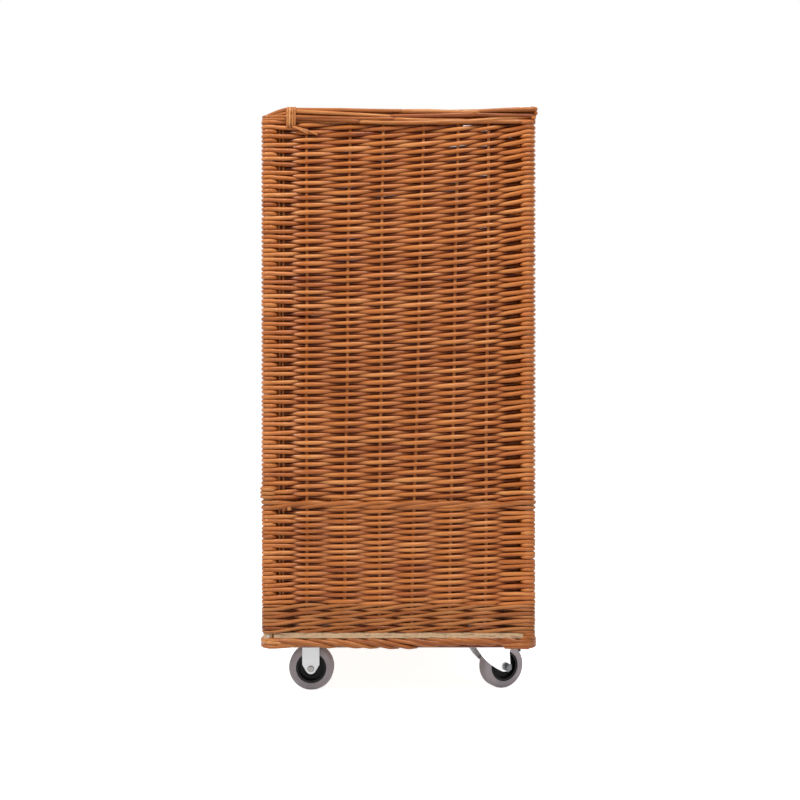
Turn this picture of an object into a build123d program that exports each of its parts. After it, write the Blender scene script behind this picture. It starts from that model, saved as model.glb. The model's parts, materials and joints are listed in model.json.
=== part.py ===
from build123d import *
import math
import os

# Bread display cart: a tall willow basket on four castors, open at the front and at the top.
# Millimetres. X runs left to right, Y from the open front to the back, Z up from the floor.
# The origin is on the floor under the middle of the cart.

# Basket frame
post_pitch_x = 576.0
post_pitch_y = 421.0
post_diameter = 17.0
wrap_thickness = 3.7
weave_thickness = 17.0
weave_waist = 7.0
weave_crest_length = 22.0
wale_thickness = 22.0
border_thickness = 24.0
border_rounding = 7.0
border_knot_radius = 15.0
knot_rounding = 5.0
weave_clearance = 0.3
cut_past = 1.0

# Heights of the bands, one above the other, from the castors up
board_thickness = 8.0
upsett_height = 47.0
lower_weave_height = 151.0
middle_wale_height = 18.0
upper_weave_height = 614.0
top_border_height = 22.0
front_border_height = 20.0
foot_border_height = 18.0
post_foot_cover = 2.0
front_post_rise = 6.0
post_end_reveal = 0.5

# Stakes, the uprights inside the weave
stake_diameter = 6.0
stake_clearance = 0.15
stake_tail = 10.0
stake_seat = 8.0
side_stake_count = 6
end_stake_count = 8
edge_stake_diameter = 5.0
edge_stake_offset = 19.5

# Base board
board_edge_margin = 9.0

# Nails through the posts into the board
nail_diameter = 2.0
nail_length = 24.0
nail_head_diameter = 3.6
nail_head_thickness = 0.6
nail_hole_clearance = 0.05
nail_level_low = 2.5
nail_level_high = 5.5

# Willow ties round the front ends of the side borders
tie_diameter = 5.6
tie_clearance = 0.2
tie_offset = 32.5
tie_spacing = 8.5
tie_half_width = 11.2
tie_corner_radius = 5.0
tie_stand = 0.5
tie_drop = 13.0
tie_count = 2
border_nose_height = 4.0
border_nose_overhang = 9.0
border_nose_slope_length = 34.0

# Castors
castor_border_gap_x = 21.0
castor_border_gap_y = 22.5
castor_trail = 30.0
swivel_rest_angle = 25.0
plate_size = 60.0
plate_thickness = 2.5
plate_corner_radius = 4.0
fork_gap = 33.0
fork_thickness = 2.5
fork_bend_radius = 4.0

# Wheels
wheel_diameter = 75.0
tyre_width = 25.0
tyre_shoulder_radius = 6.0
hub_diameter = 50.8
hub_rim_width = 23.0
hub_rim_thickness = 3.9
hub_web_thickness = 6.0
hub_ring_diameter = 35.0
hub_ring_thickness = 2.0
hub_ring_width = 11.0
hub_boss_diameter = 18.0
hub_side_play = 0.4
tyre_fit = 0.05
sleeve_diameter = 12.0
running_clearance = 0.08
bolt_clearance = 0.05
axle_diameter = 8.0

# Fixed fork of the front castors
fixed_leg_width = 28.6
fixed_leg_tip_radius = 8.5
fixed_leg_taper = 7.0
rivet_head_diameter = 10.3
rivet_head_thickness = 2.0
rivet_head_rounding = 1.2
rivet_pocket_radius = 6.4
rivet_pocket_rise = 1.2
rivet_pocket_depth = 1.2

# Swivel fork of the rear castors
crown_depth = 12.0
crown_front = 32.0
crown_back = 14.0
crown_pad_radius = 24.0
fork_tip_radius = 7.6
fork_nose_depth = 7.0
fork_front_knee = (44.0, 19.5)
fork_front_bow = (26.3, 4.1)
fork_front_run_out = (6.6, 7.0)
fork_back_waist = (5.7, 23.5)
fork_back_flare = (7.0, 28.5)
fork_back_shoulder = (13.0, 34.5)
fork_back_heel_up = 37.5

# Swivel bearing
race_inner_radius = 11.5
race_outer_radius = 20.5
race_gap = 1.0
ball_diameter = 5.0
ball_count = 12
ball_circle_radius = 16.0
ball_clearance = 0.25
kingpin_diameter = 10.0
kingpin_head_diameter = 16.0
kingpin_head_thickness = 3.0
kingpin_top_recess = 0.2
kingpin_clearance = 0.1

# Axle bolt and nut of the rear castors
hex_across_flats = 13.0
bolt_head_thickness = 5.3
nut_thickness = 5.2
nut_collar_diameter = 11.0
nut_collar_thickness = 2.0
bolt_end_stand = 1.0

# Brake
brake_pivot = (2.4, 36.2)
brake_pin_diameter = 4.6
brake_pin_stand = 0.3
brake_boss_radius = 5.0
brake_side_play = 0.6
brake_cheek_thickness = 2.3
brake_cheek_depth = 2.0
brake_lever_thickness = 2.0
brake_lever_span = (-4.0, 36.0)
brake_cheek_end = 33.0
brake_tread_length = 9.0
brake_tread_rise = 0.5
brake_crown_gap = 4.7
shoe_gap = 0.3
shoe_thickness = 3.3
shoe_fit = 0.2
shoe_width = 18.0
shoe_span = (20.0, 57.0)

# Bolts that hold the castors to the board
castor_bolt_spacing_x = 38.0
castor_bolt_spacing_y = 48.0
castor_bolt_diameter = 6.0
castor_hole_clearance = 0.1
castor_bolt_head_diameter = 16.0
castor_bolt_head_height = 3.0
castor_bolt_head_rounding = 2.4
castor_washer_diameter = 11.6
castor_washer_thickness = 1.2
castor_nut_flats = 10.0
castor_nut_thickness = 4.6
castor_bolt_end = 1.6

# Places that follow from the sizes above
post_x = post_pitch_x / 2
post_y = post_pitch_y / 2
post_radius = post_diameter / 2
wrap_radius = post_radius + wrap_thickness
brake_stack = shoe_gap + shoe_thickness + shoe_fit + brake_lever_thickness
castor_headroom = brake_stack + brake_crown_gap
crown_top = wheel_diameter + castor_headroom + fork_thickness
castor_height = crown_top + crown_depth
board_top = castor_height + board_thickness
upsett_top = board_top + upsett_height
lower_weave_top = upsett_top + lower_weave_height
middle_wale_top = lower_weave_top + middle_wale_height
front_border_top = middle_wale_top + front_border_height
upper_weave_top = middle_wale_top + upper_weave_height
border_top = upper_weave_top + top_border_height
foot_border_bottom = castor_height - foot_border_height
post_foot = foot_border_bottom + post_foot_cover
front_post_top = upper_weave_top + front_post_rise
stake_foot = castor_height - stake_tail
axle_height = wheel_diameter / 2
plate_bottom = castor_height - plate_thickness
castor_x = post_x - border_thickness / 2 - castor_border_gap_x - plate_size / 2
castor_y = post_y - border_thickness / 2 - castor_border_gap_y - plate_size / 2
fork_outer = fork_gap / 2 + fork_thickness
ball_level = (crown_top + plate_bottom) / 2


def at_z(shape, z):
    """The shape lifted to a level."""
    return Pos(0, 0, z) * shape


def upright(radius, z_low, z_high, x=0.0, y=0.0):
    """A vertical round bar between two levels."""
    height = z_high - z_low
    return Pos(x, y, z_low + height / 2) * Cylinder(radius, height)


def cross_bar(radius, x_low, x_high, y=0.0, z=0.0):
    """A round bar along X between two places."""
    length = x_high - x_low
    return Pos(x_low + length / 2, y, z) * Rot(0, 90, 0) * Cylinder(radius, length)


def even_places(pitch, count):
    """Places that divide the space between two posts evenly."""
    return [pitch * ((i + 1) / (count + 1) - 0.5) for i in range(count)]


def mirrored(shape):
    """The same piece on the other side of the cart."""
    return mirror(shape, about=Plane.YZ)


def group(shapes):
    """Separate solids kept together as one sub-part."""
    return Compound(children=[solid for shape in shapes for solid in shape.solids()])


def wall_bar(pitch, thickness, z_low, z_high, end_radius):
    """A straight rounded band along X between two posts, its ends hollowed to fit round them."""
    height = z_high - z_low
    length = pitch - thickness - 2 * weave_clearance
    section = RectangleRounded(thickness, height, border_rounding)
    bar = at_z(extrude(Plane.YZ * section, amount=length / 2, both=True), z_low + height / 2)
    for side in (-1, 1):
        bar -= upright(
            end_radius + weave_clearance, z_low - cut_past, z_high + cut_past, side * pitch / 2
        )
    return bar


def woven_bar(pitch, stops, z_low, z_high):
    """A woven band along X between two posts, thick where its rods pass a stake and thin between."""
    crest = weave_thickness / 2
    reach = weave_crest_length / 2
    edge = [(-pitch / 2, crest)]
    for near, far in zip(stops, stops[1:]):
        if far - near > weave_crest_length:
            edge.append((near + reach, crest))
            edge.append(((near + far) / 2, weave_waist / 2))
            edge.append((far - reach, crest))
    edge.append((pitch / 2, crest))
    outline = edge + [(x, -y) for x, y in reversed(edge)]
    bar = at_z(extrude(make_face(Polyline(*outline, close=True)), amount=z_high - z_low), z_low)
    for side in (-1, 1):
        bar -= upright(
            wrap_radius + weave_clearance, z_low - cut_past, z_high + cut_past, side * pitch / 2
        )
    return bar


def drilled_for_stakes(bar, places, z_low, z_high):
    """Cut the round channels that the stakes stand in."""
    for place in places:
        bar -= upright(stake_diameter / 2 + stake_clearance, z_low, z_high, place)
    return bar


def onto_side(shape):
    """Turn a band made along X into the right wall, its front end towards the cart's front."""
    return Pos(post_x, 0, 0) * Rot(0, 0, 90) * shape


def onto_back(shape):
    """Move a band made along X into the back wall."""
    return Pos(0, post_y, 0) * shape


def onto_front(shape):
    """Move a band made along X into the front wall."""
    return Pos(0, -post_y, 0) * shape


side_places = even_places(post_pitch_y, side_stake_count)
end_places = even_places(post_pitch_x, end_stake_count)
edge_place = -post_y + edge_stake_offset
edge_hole_radius = edge_stake_diameter / 2 + stake_clearance


def as_side_band(bar, z_low, z_high):
    """A band along X as a band of the right wall, with its stake channels."""
    hole_low = z_low - cut_past
    hole_high = z_high + cut_past
    bar = drilled_for_stakes(bar, side_places, hole_low, hole_high)
    return onto_side(bar - upright(edge_hole_radius, hole_low, hole_high, edge_place))


def as_end_band(bar, z_low, z_high):
    """A band along X with its stake channels, for the back or the front wall."""
    return drilled_for_stakes(bar, end_places, z_low - cut_past, z_high + cut_past)


def side_weave(z_low, z_high):
    """A woven band of the right wall."""
    stops = [-post_y, edge_place] + side_places + [post_y]
    return as_side_band(woven_bar(post_pitch_y, stops, z_low, z_high), z_low, z_high)


def end_weave(z_low, z_high):
    """A woven band along X, for the back or the front wall."""
    stops = [-post_x] + end_places + [post_x]
    return as_end_band(woven_bar(post_pitch_x, stops, z_low, z_high), z_low, z_high)


def knot(z_low, z_high):
    """The round bundle where a border turns round a post."""
    height = z_high - z_low
    body = Cylinder(border_knot_radius, height)
    body = fillet(body.edges(), knot_rounding)
    return at_z(body, z_low + height / 2)


def knotted_border(z_low, z_high, hole_low, hole_high):
    """A border along X with a knot round the post at each end."""
    height = z_high - z_low
    section = RectangleRounded(border_thickness, height, border_rounding)
    bar = extrude(Plane.YZ * section, amount=post_pitch_x / 2, both=True)
    bar = at_z(bar, z_low + height / 2)
    for side in (-1, 1):
        bar += Pos(side * post_x, 0, 0) * knot(z_low, z_high)
    for side in (-1, 1):
        bar -= upright(
            post_radius + weave_clearance, z_low - cut_past, z_high + cut_past, side * post_x
        )
    return drilled_for_stakes(bar, end_places, hole_low, hole_high)


def nail():
    """A nail along X with its head's underside at X = 0 and its point towards -X."""
    shank = cross_bar(nail_diameter / 2, -nail_length, 0)
    head = cross_bar(nail_head_diameter / 2, 0, nail_head_thickness)
    return shank + head


def at_corner_nails(shape):
    """Copies of a nail or its bore at the right back post, one along X and one along Y."""
    low = Pos(post_x + post_radius, post_y, castor_height + nail_level_low)
    high = Pos(post_x, post_y + post_radius, castor_height + nail_level_high) * Rot(0, 0, 90)
    return [low * shape, high * shape]


def nail_holes():
    """Cutters for the two nails at the right back post."""
    radius = nail_diameter / 2 + nail_hole_clearance
    return at_corner_nails(cross_bar(radius, -nail_length - nail_hole_clearance, nail_head_thickness))


def four_corners(shapes):
    """Copies of the pieces of the back right corner at all four corners."""
    front = [mirror(shape, about=Plane.XZ) for shape in shapes]
    right = list(shapes) + front
    return right + [mirrored(shape) for shape in right]


def castor_bolt_places():
    """Places of all sixteen bolts that hold the castor plates."""
    places = []
    for side_x in (-1, 1):
        for side_y in (-1, 1):
            for dx in (-0.5, 0.5):
                for dy in (-0.5, 0.5):
                    x = side_x * castor_x + dx * castor_bolt_spacing_x
                    y = side_y * castor_y + dy * castor_bolt_spacing_y
                    places.append((x, y))
    return places


def base_board():
    """Plywood floor with a rounded notch for each post and holes for stakes, nails and bolts."""
    half_x = post_x + board_edge_margin
    half_y = post_y + board_edge_margin
    board = Pos(0, 0, castor_height + board_thickness / 2) * Box(2 * half_x, 2 * half_y, board_thickness)
    seat_radius = post_radius + weave_clearance
    notch_size = board_edge_margin + seat_radius + cut_past
    notch_shift = board_edge_margin + cut_past - notch_size / 2
    corner = Rectangle(notch_size, notch_size)
    inner = corner.vertices().sort_by(lambda v: v.X + v.Y)[0]
    corner = fillet(inner, seat_radius)
    notch = Pos(post_x + notch_shift, post_y + notch_shift, castor_height - cut_past)
    notch = notch * extrude(corner, amount=board_thickness + 2 * cut_past)
    for cutter in four_corners([notch] + nail_holes()):
        board -= cutter
    low = castor_height - cut_past
    high = board_top + cut_past
    stake_radius = stake_diameter / 2 + stake_clearance
    for side in (-1, 1):
        for place in side_places:
            board -= upright(stake_radius, low, high, side * post_x, place)
        for place in end_places:
            board -= upright(stake_radius, low, high, place, side * post_y)
        board -= upright(edge_hole_radius, low, high, side * post_x, edge_place)
    for x, y in castor_bolt_places():
        board -= upright(castor_bolt_diameter / 2 + castor_hole_clearance, low, high, x, y)
    return board


def post(z_high, side_y):
    """A corner post of the right side, drilled for its nails."""
    body = upright(post_radius, post_foot, z_high, post_x, side_y * post_y)
    holes = nail_holes()
    if side_y < 0:
        holes = [mirror(hole, about=Plane.XZ) for hole in holes]
    for hole in holes:
        body -= hole
    return body


def wrap(z_low, z_high, side_y):
    """The sleeve of willow wound round a post of the right side."""
    y = side_y * post_y
    outer = upright(wrap_radius, z_low, z_high, post_x, y)
    inner_radius = post_radius + weave_clearance
    return outer - upright(inner_radius, z_low - cut_past, z_high + cut_past, post_x, y)


def stake(x, y, z_high, diameter=stake_diameter):
    """One upright from inside the foot border to inside the border above it."""
    return upright(diameter / 2, stake_foot, z_high, x, y)


def side_stakes():
    """The stakes of the right wall, with a thin one beside the front post."""
    z_high = upper_weave_top + stake_seat
    stakes = [stake(post_x, place, z_high) for place in side_places]
    return stakes + [stake(post_x, edge_place, z_high, edge_stake_diameter)]


def foot_border():
    """Four bands under the board, the front and back ones turning round the posts."""
    hole_low = stake_foot - stake_clearance
    hole_high = castor_height + cut_past
    end = knotted_border(foot_border_bottom, castor_height, hole_low, hole_high)
    side = wall_bar(
        post_pitch_y,
        border_thickness,
        foot_border_bottom,
        castor_height,
        border_knot_radius,
    )
    side = drilled_for_stakes(side, side_places, hole_low, hole_high)
    side -= upright(edge_hole_radius, hole_low, hole_high, edge_place)
    side = onto_side(side)
    return group([onto_front(end), onto_back(end), side, mirrored(side)])


def wale_ring(z_low, z_high):
    """Four straight thick bands, one on each wall."""
    side = wall_bar(post_pitch_y, wale_thickness, z_low, z_high, wrap_radius)
    side = as_side_band(side, z_low, z_high)
    end = wall_bar(post_pitch_x, wale_thickness, z_low, z_high, wrap_radius)
    end = as_end_band(end, z_low, z_high)
    return group([onto_front(end), onto_back(end), side, mirrored(side)])


def tie_loop(radius, place):
    """A closed loop of willow round the right border, at a distance behind the front post."""
    z_high = border_top + tie_stand - tie_diameter / 2
    z_low = upper_weave_top - tie_drop + tie_diameter / 2
    outline = RectangleRounded(2 * tie_half_width, z_high - z_low, tie_corner_radius)
    path = (Plane.XZ * outline).wire()
    path = Pos(post_x, -post_y + place, (z_low + z_high) / 2) * path
    section = Plane(path @ 0, z_dir=path % 0) * Circle(radius)
    return sweep(section, path=path)


def tie_loops(radius):
    """The loops at the front end of the right border."""
    return [tie_loop(radius, tie_offset + i * tie_spacing) for i in range(tie_count)]


def side_upper_weave():
    """The tall woven panel of the right wall, hollowed round the knot of the front border."""
    panel = side_weave(middle_wale_top, upper_weave_top)
    panel -= upright(
        border_knot_radius + weave_clearance,
        middle_wale_top - cut_past,
        front_border_top + weave_clearance,
        post_x,
        -post_y,
    )
    for cutter in tie_loops(tie_diameter / 2 + tie_clearance):
        panel -= cutter
    return panel


def side_top_border():
    """The right border, its front nose sloping down over the top of the front post."""
    seat = upper_weave_top + stake_seat + stake_clearance
    nose_front = -post_y - border_nose_overhang
    slope_back = nose_front + border_nose_slope_length
    step = -post_y + wrap_radius + weave_clearance
    back = post_y - border_thickness / 2 - weave_clearance
    rest = front_post_top + weave_clearance
    section = RectangleRounded(border_thickness, top_border_height, border_rounding)
    length = back - nose_front
    bar = extrude(Plane.XZ * section, amount=length / 2, both=True)
    bar = Pos(post_x, (back + nose_front) / 2, upper_weave_top + top_border_height / 2) * bar
    outline = Polyline(
        (nose_front, rest),
        (nose_front, rest + border_nose_height),
        (slope_back, border_top),
        (back, border_top),
        (back, upper_weave_top),
        (step, upper_weave_top),
        (step, rest),
        close=True,
    )
    side_view = extrude(Plane.YZ * make_face(outline), amount=border_thickness, both=True)
    bar = bar & (Pos(post_x, 0, 0) * side_view)
    low = upper_weave_top - cut_past
    bar -= upright(wrap_radius + weave_clearance, low, border_top + cut_past, post_x, post_y)
    for place in side_places:
        bar -= upright(stake_diameter / 2 + stake_clearance, low, seat, post_x, place)
    bar -= upright(edge_hole_radius, low, seat, post_x, edge_place)
    for cutter in tie_loops(tie_diameter / 2 + tie_clearance):
        bar -= cutter
    return bar


def back_top_border():
    """The back border with a rounded end over each back post."""
    height = top_border_height
    section = RectangleRounded(border_thickness, height, border_rounding)
    bar = extrude(Plane.YZ * section, amount=post_x, both=True)
    end = fillet(Cylinder(wrap_radius, height).edges(), knot_rounding)
    for side in (-1, 1):
        bar += Pos(side * post_x, 0, 0) * end
    bar = at_z(bar, upper_weave_top + height / 2)
    seat = upper_weave_top + stake_seat + stake_clearance
    return onto_back(drilled_for_stakes(bar, end_places, upper_weave_top - cut_past, seat))


def front_border():
    """The border of the low front wall with a knot round each front post."""
    low = middle_wale_top - cut_past
    seat = middle_wale_top + stake_seat + stake_clearance
    return onto_front(knotted_border(middle_wale_top, front_border_top, low, seat))


def tangent_point(point, centre, radius, turn):
    """Where a line from a point touches a circle, on the side that turn picks."""
    dx = point[0] - centre[0]
    dz = point[1] - centre[1]
    swing = math.acos(radius / math.hypot(dx, dz))
    angle = math.atan2(dz, dx) + turn * swing
    return (centre[0] + radius * math.cos(angle), centre[1] + radius * math.sin(angle))


def castor_plate():
    """Square plate under the board with its four bolt holes, centred on the Z axis."""
    plate = extrude(RectangleRounded(plate_size, plate_size, plate_corner_radius), amount=plate_thickness)
    plate = at_z(plate, plate_bottom)
    for dx in (-0.5, 0.5):
        for dy in (-0.5, 0.5):
            x = dx * castor_bolt_spacing_x
            y = dy * castor_bolt_spacing_y
            radius = castor_bolt_diameter / 2 + castor_hole_clearance
            plate -= upright(radius, plate_bottom - cut_past, castor_height + cut_past, x, y)
    return plate


def fork_channel(top, bottom, half_length):
    """An upside down channel along Y, as bent from sheet."""
    height = top - bottom
    outer = Rectangle(2 * fork_outer, height)
    outer = fillet(outer.vertices().group_by(Axis.Y)[-1], fork_bend_radius)
    inner = Rectangle(fork_gap, height)
    inner = fillet(inner.vertices().group_by(Axis.Y)[-1], fork_bend_radius - fork_thickness)
    section = outer - Pos(0, -fork_thickness) * inner
    channel = extrude(Plane.XZ * section, amount=half_length, both=True)
    return at_z(channel, bottom + height / 2)


def fixed_bracket():
    """Plate and two tapered fork legs in one, over a wheel on the Z axis."""
    half = fixed_leg_width / 2
    knee = axle_height + fixed_leg_taper
    centre = (0.0, axle_height)
    right = tangent_point((half, knee), centre, fixed_leg_tip_radius, -1)
    left = (-right[0], right[1])
    tip = (0.0, axle_height - fixed_leg_tip_radius)
    outline = Polyline((-half, castor_height), (-half, knee), left)
    outline += ThreePointArc(left, tip, right)
    outline += Polyline(right, (half, knee), (half, castor_height), (-half, castor_height))
    side_view = extrude(Plane.YZ * make_face(outline), amount=fork_outer, both=True)
    bracket = fork_channel(castor_height, tip[1] - cut_past, half) & side_view
    bracket += castor_plate()
    end = fork_outer + cut_past
    bracket -= cross_bar(axle_diameter / 2 + bolt_clearance, -end, end, 0, axle_height)
    pocket_floor = fork_outer - rivet_pocket_depth
    pocket = cross_bar(rivet_pocket_radius, pocket_floor, end, 0, axle_height + rivet_pocket_rise)
    return bracket - pocket - mirrored(pocket)


def axle_rivet():
    """Rivet of a front axle, with a domed head in the pocket of each leg."""
    floor = fork_outer - rivet_pocket_depth
    shank = cross_bar(axle_diameter / 2, -floor, floor, 0, axle_height)
    head = Cylinder(rivet_head_diameter / 2, rivet_head_thickness)
    head = fillet(head.edges().group_by(Axis.Z)[-1], rivet_head_rounding)
    place = floor + rivet_head_thickness / 2
    right = Pos(place, 0, axle_height) * Rot(0, 90, 0) * head
    return shank + right + mirrored(right)


def axle_sleeve():
    """Steel tube between the fork legs that a wheel turns on."""
    half = fork_gap / 2
    end = half + cut_past
    sleeve = cross_bar(sleeve_diameter / 2, -half, half, 0, axle_height)
    return sleeve - cross_bar(axle_diameter / 2 + bolt_clearance, -end, end, 0, axle_height)


def wheel_hub():
    """Hub with rim, web, raised ring and boss, turned about a line along X."""
    boss_half = fork_gap / 2 - hub_side_play
    bore = sleeve_diameter / 2 + running_clearance
    rim_outer = hub_diameter / 2 - tyre_fit
    rim_inner = rim_outer - hub_rim_thickness
    ring_outer = hub_ring_diameter / 2
    half = [
        (boss_half, bore),
        (boss_half, hub_boss_diameter / 2),
        (hub_web_thickness / 2, hub_boss_diameter / 2),
        (hub_web_thickness / 2, ring_outer - hub_ring_thickness),
        (hub_ring_width / 2, ring_outer - hub_ring_thickness),
        (hub_ring_width / 2, ring_outer),
        (hub_web_thickness / 2, ring_outer),
        (hub_web_thickness / 2, rim_inner),
        (hub_rim_width / 2, rim_inner),
        (hub_rim_width / 2, rim_outer),
    ]
    outline = half + [(-x, r) for x, r in reversed(half)]
    profile = make_face(Polyline(*outline, close=True))
    return at_z(revolve(profile, axis=Axis.X), axle_height)


def tyre():
    """Rubber tyre with rounded shoulders, turned about a line along X."""
    inner = hub_diameter / 2
    outer = wheel_diameter / 2
    profile = Rectangle(tyre_width, outer - inner)
    profile = fillet(profile.vertices().group_by(Axis.Y)[-1], tyre_shoulder_radius)
    profile = Pos(0, (inner + outer) / 2) * profile
    return at_z(revolve(profile, axis=Axis.X), axle_height)


def ball_groove():
    """The round channel that the balls run in."""
    return at_z(Torus(ball_circle_radius, ball_diameter / 2 + ball_clearance), ball_level)


def race_ring(z_low, z_high):
    """One half of the swivel bearing, hollowed for the balls."""
    ring = upright(race_outer_radius, z_low, z_high)
    ring -= upright(race_inner_radius, z_low - cut_past, z_high + cut_past)
    return ring - ball_groove()


def swivel_plate():
    """Plate of a rear castor with the upper race and a flared hole for the kingpin."""
    plate = castor_plate() + race_ring(ball_level + race_gap / 2, plate_bottom)
    radius = kingpin_diameter / 2 + kingpin_clearance
    flare = kingpin_head_diameter / 2 + kingpin_clearance
    outline = Polyline(
        (0, plate_bottom - cut_past),
        (radius, plate_bottom - cut_past),
        (radius, plate_bottom),
        (flare, castor_height),
        (0, castor_height),
        close=True,
    )
    return plate - revolve(Plane.XZ * make_face(outline), axis=Axis.Z)


def kingpin():
    """Rivet that the fork turns on, flared at the top and headed below the crown."""
    head_top = crown_top - fork_thickness - weave_clearance
    radius = kingpin_diameter / 2
    head = kingpin_head_diameter / 2
    outline = Polyline(
        (0, head_top - kingpin_head_thickness),
        (head, head_top - kingpin_head_thickness),
        (head, head_top),
        (radius, head_top),
        (radius, plate_bottom),
        (head - kingpin_top_recess, castor_height - kingpin_top_recess),
        (0, castor_height - kingpin_top_recess),
        close=True,
    )
    return revolve(Plane.XZ * make_face(outline), axis=Axis.Z)


def bearing_balls():
    """The ring of balls between the two races."""
    step = 360 / ball_count
    ball = Pos(ball_circle_radius, 0, ball_level) * Sphere(ball_diameter / 2)
    return [Rot(0, 0, i * step) * ball for i in range(ball_count)]


def from_axle(point):
    """A place given from the axle, behind it and above it, in a rear castor's side view."""
    return (castor_trail + point[0], axle_height + point[1])


def ahead_of_axle(point):
    """A place given from the axle, ahead of it and above it, in a rear castor's side view."""
    return from_axle((-point[0], point[1]))


def swivel_fork():
    """Fork of a rear castor, its swivel on the Z axis and its axle behind along +Y."""
    centre = from_axle((0.0, 0.0))
    crown_up = crown_top - axle_height
    nose = (-crown_front, crown_top - fork_nose_depth)
    knee = ahead_of_axle(fork_front_knee)
    bow = ahead_of_axle(fork_front_bow)
    run_out = from_axle((-fork_front_run_out[0], -fork_front_run_out[1]))
    touch = tangent_point(run_out, centre, fork_tip_radius, 1)
    waist = from_axle(fork_back_waist)
    rise = tangent_point(waist, centre, fork_tip_radius, -1)
    tip = (centre[0], centre[1] - fork_tip_radius)
    outline = Polyline((-crown_front, crown_top), nose, knee)
    outline += ThreePointArc(knee, bow, run_out)
    outline += Line(run_out, touch)
    outline += ThreePointArc(touch, tip, rise)
    outline += Polyline(
        rise,
        waist,
        from_axle(fork_back_flare),
        from_axle(fork_back_shoulder),
        from_axle((crown_back, fork_back_heel_up)),
        from_axle((crown_back, crown_up)),
        (-crown_front, crown_top),
    )
    side_view = extrude(Plane.YZ * make_face(outline), amount=fork_outer, both=True)
    reach = max(castor_trail + crown_back, crown_front) + cut_past
    fork = fork_channel(crown_top, tip[1] - cut_past, reach) & side_view
    crown_bottom = crown_top - fork_thickness
    fork += upright(crown_pad_radius, crown_bottom, crown_top)
    fork += race_ring(crown_top, ball_level - race_gap / 2)
    fork -= upright(kingpin_diameter / 2 + running_clearance, crown_bottom - cut_past, ball_level)
    end = fork_outer + cut_past
    y, z = centre
    fork -= cross_bar(axle_diameter / 2 + bolt_clearance, -end, end, y, z)
    y, z = from_axle(brake_pivot)
    fork -= cross_bar(brake_pin_diameter / 2 + bolt_clearance, -end, end, y, z)
    return fork


def hexagon(flats, length):
    """A hexagonal bar up from Z = 0, given across its flats."""
    return extrude(RegularPolygon(flats / 2, 6, major_radius=False), amount=length)


def hexagon_bar(x_low, x_high):
    """The hexagon of the axle bolt and its nut, along X on the axle line of a rear castor."""
    body = hexagon(hex_across_flats, x_high - x_low)
    y, z = from_axle((0.0, 0.0))
    return Pos(x_low, y, z) * Rot(0, 90, 0) * body


def axle_bolt():
    """Bolt through a swivel fork, its head on the inner side of the cart."""
    y, z = from_axle((0.0, 0.0))
    end = fork_outer + nut_thickness + nut_collar_thickness + bolt_end_stand
    shank = cross_bar(axle_diameter / 2, -fork_outer, end, y, z)
    return shank + hexagon_bar(-fork_outer - bolt_head_thickness, -fork_outer)


def axle_nut():
    """Lock nut on the outer end of an axle bolt."""
    y, z = from_axle((0.0, 0.0))
    flats_end = fork_outer + nut_thickness
    collar_end = flats_end + nut_collar_thickness
    nut = hexagon_bar(fork_outer, flats_end)
    nut += cross_bar(nut_collar_diameter / 2, flats_end, collar_end, y, z)
    radius = axle_diameter / 2 + bolt_clearance
    return nut - cross_bar(radius, fork_outer - cut_past, collar_end + cut_past, y, z)


def round_the_tyre(radius, degrees):
    """A place on a circle about the axle, the angle running back from straight up."""
    angle = math.radians(degrees)
    return from_axle((radius * math.sin(angle), radius * math.cos(angle)))


def curved_strip(inner, outer, start, end, half_width):
    """A strip that follows the tyre between two angles."""
    middle = (start + end) / 2
    top = [round_the_tyre(outer, degrees) for degrees in (start, middle, end)]
    under = [round_the_tyre(inner, degrees) for degrees in (end, middle, start)]
    outline = ThreePointArc(*top) + Line(top[-1], under[0])
    outline += ThreePointArc(*under) + Line(under[-1], top[0])
    return extrude(Plane.YZ * make_face(outline), amount=half_width, both=True)


def brake_lever():
    """Lever over the tyre with two cheeks, a boss at its pivot and a foot tread at the back."""
    half = fork_gap / 2 - brake_side_play
    cheek_inside = half - brake_cheek_thickness
    inner = wheel_diameter / 2 + shoe_gap + shoe_thickness + shoe_fit
    outer = inner + brake_lever_thickness
    start, end = brake_lever_span
    lever = curved_strip(inner, outer, start, end, half)
    cheek_edge = wheel_diameter / 2 - brake_cheek_depth
    cheek = curved_strip(cheek_edge, outer, start, brake_cheek_end, brake_cheek_thickness / 2)
    cheek = Pos(cheek_inside + brake_cheek_thickness / 2, 0, 0) * cheek
    y, z = from_axle(brake_pivot)
    cheek += cross_bar(brake_boss_radius, cheek_inside, half, y, z)
    lever = lever + cheek + mirrored(cheek)
    tail_y, tail_z = round_the_tyre((inner + outer) / 2, end)
    tread = Pos(0, tail_y + brake_tread_length / 2, tail_z + brake_tread_rise)
    lever += tread * Box(2 * half, brake_tread_length, brake_lever_thickness)
    radius = brake_pin_diameter / 2 + running_clearance
    return lever - cross_bar(radius, -half - cut_past, half + cut_past, y, z)


def brake_shoe():
    """Block under the lever that presses on the tread."""
    inner = wheel_diameter / 2 + shoe_gap
    return curved_strip(inner, inner + shoe_thickness, shoe_span[0], shoe_span[1], shoe_width / 2)


def brake_pins():
    """Stub pins in the two fork legs that the lever turns on."""
    inside = fork_gap / 2 - brake_side_play - brake_cheek_thickness
    outside = fork_outer + brake_pin_stand
    y, z = from_axle(brake_pivot)
    right = cross_bar(brake_pin_diameter / 2, inside, outside, y, z)
    return [right, mirrored(right)]


def carriage_bolt(x, y):
    """Bolt down through the board and a castor plate, with a domed head inside the basket."""
    end = plate_bottom - castor_washer_thickness - castor_nut_thickness - castor_bolt_end
    shank = upright(castor_bolt_diameter / 2, end, board_top, x, y)
    head = Cylinder(castor_bolt_head_diameter / 2, castor_bolt_head_height)
    head = fillet(head.edges().group_by(Axis.Z)[-1], castor_bolt_head_rounding)
    return shank + Pos(x, y, board_top + castor_bolt_head_height / 2) * head


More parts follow.
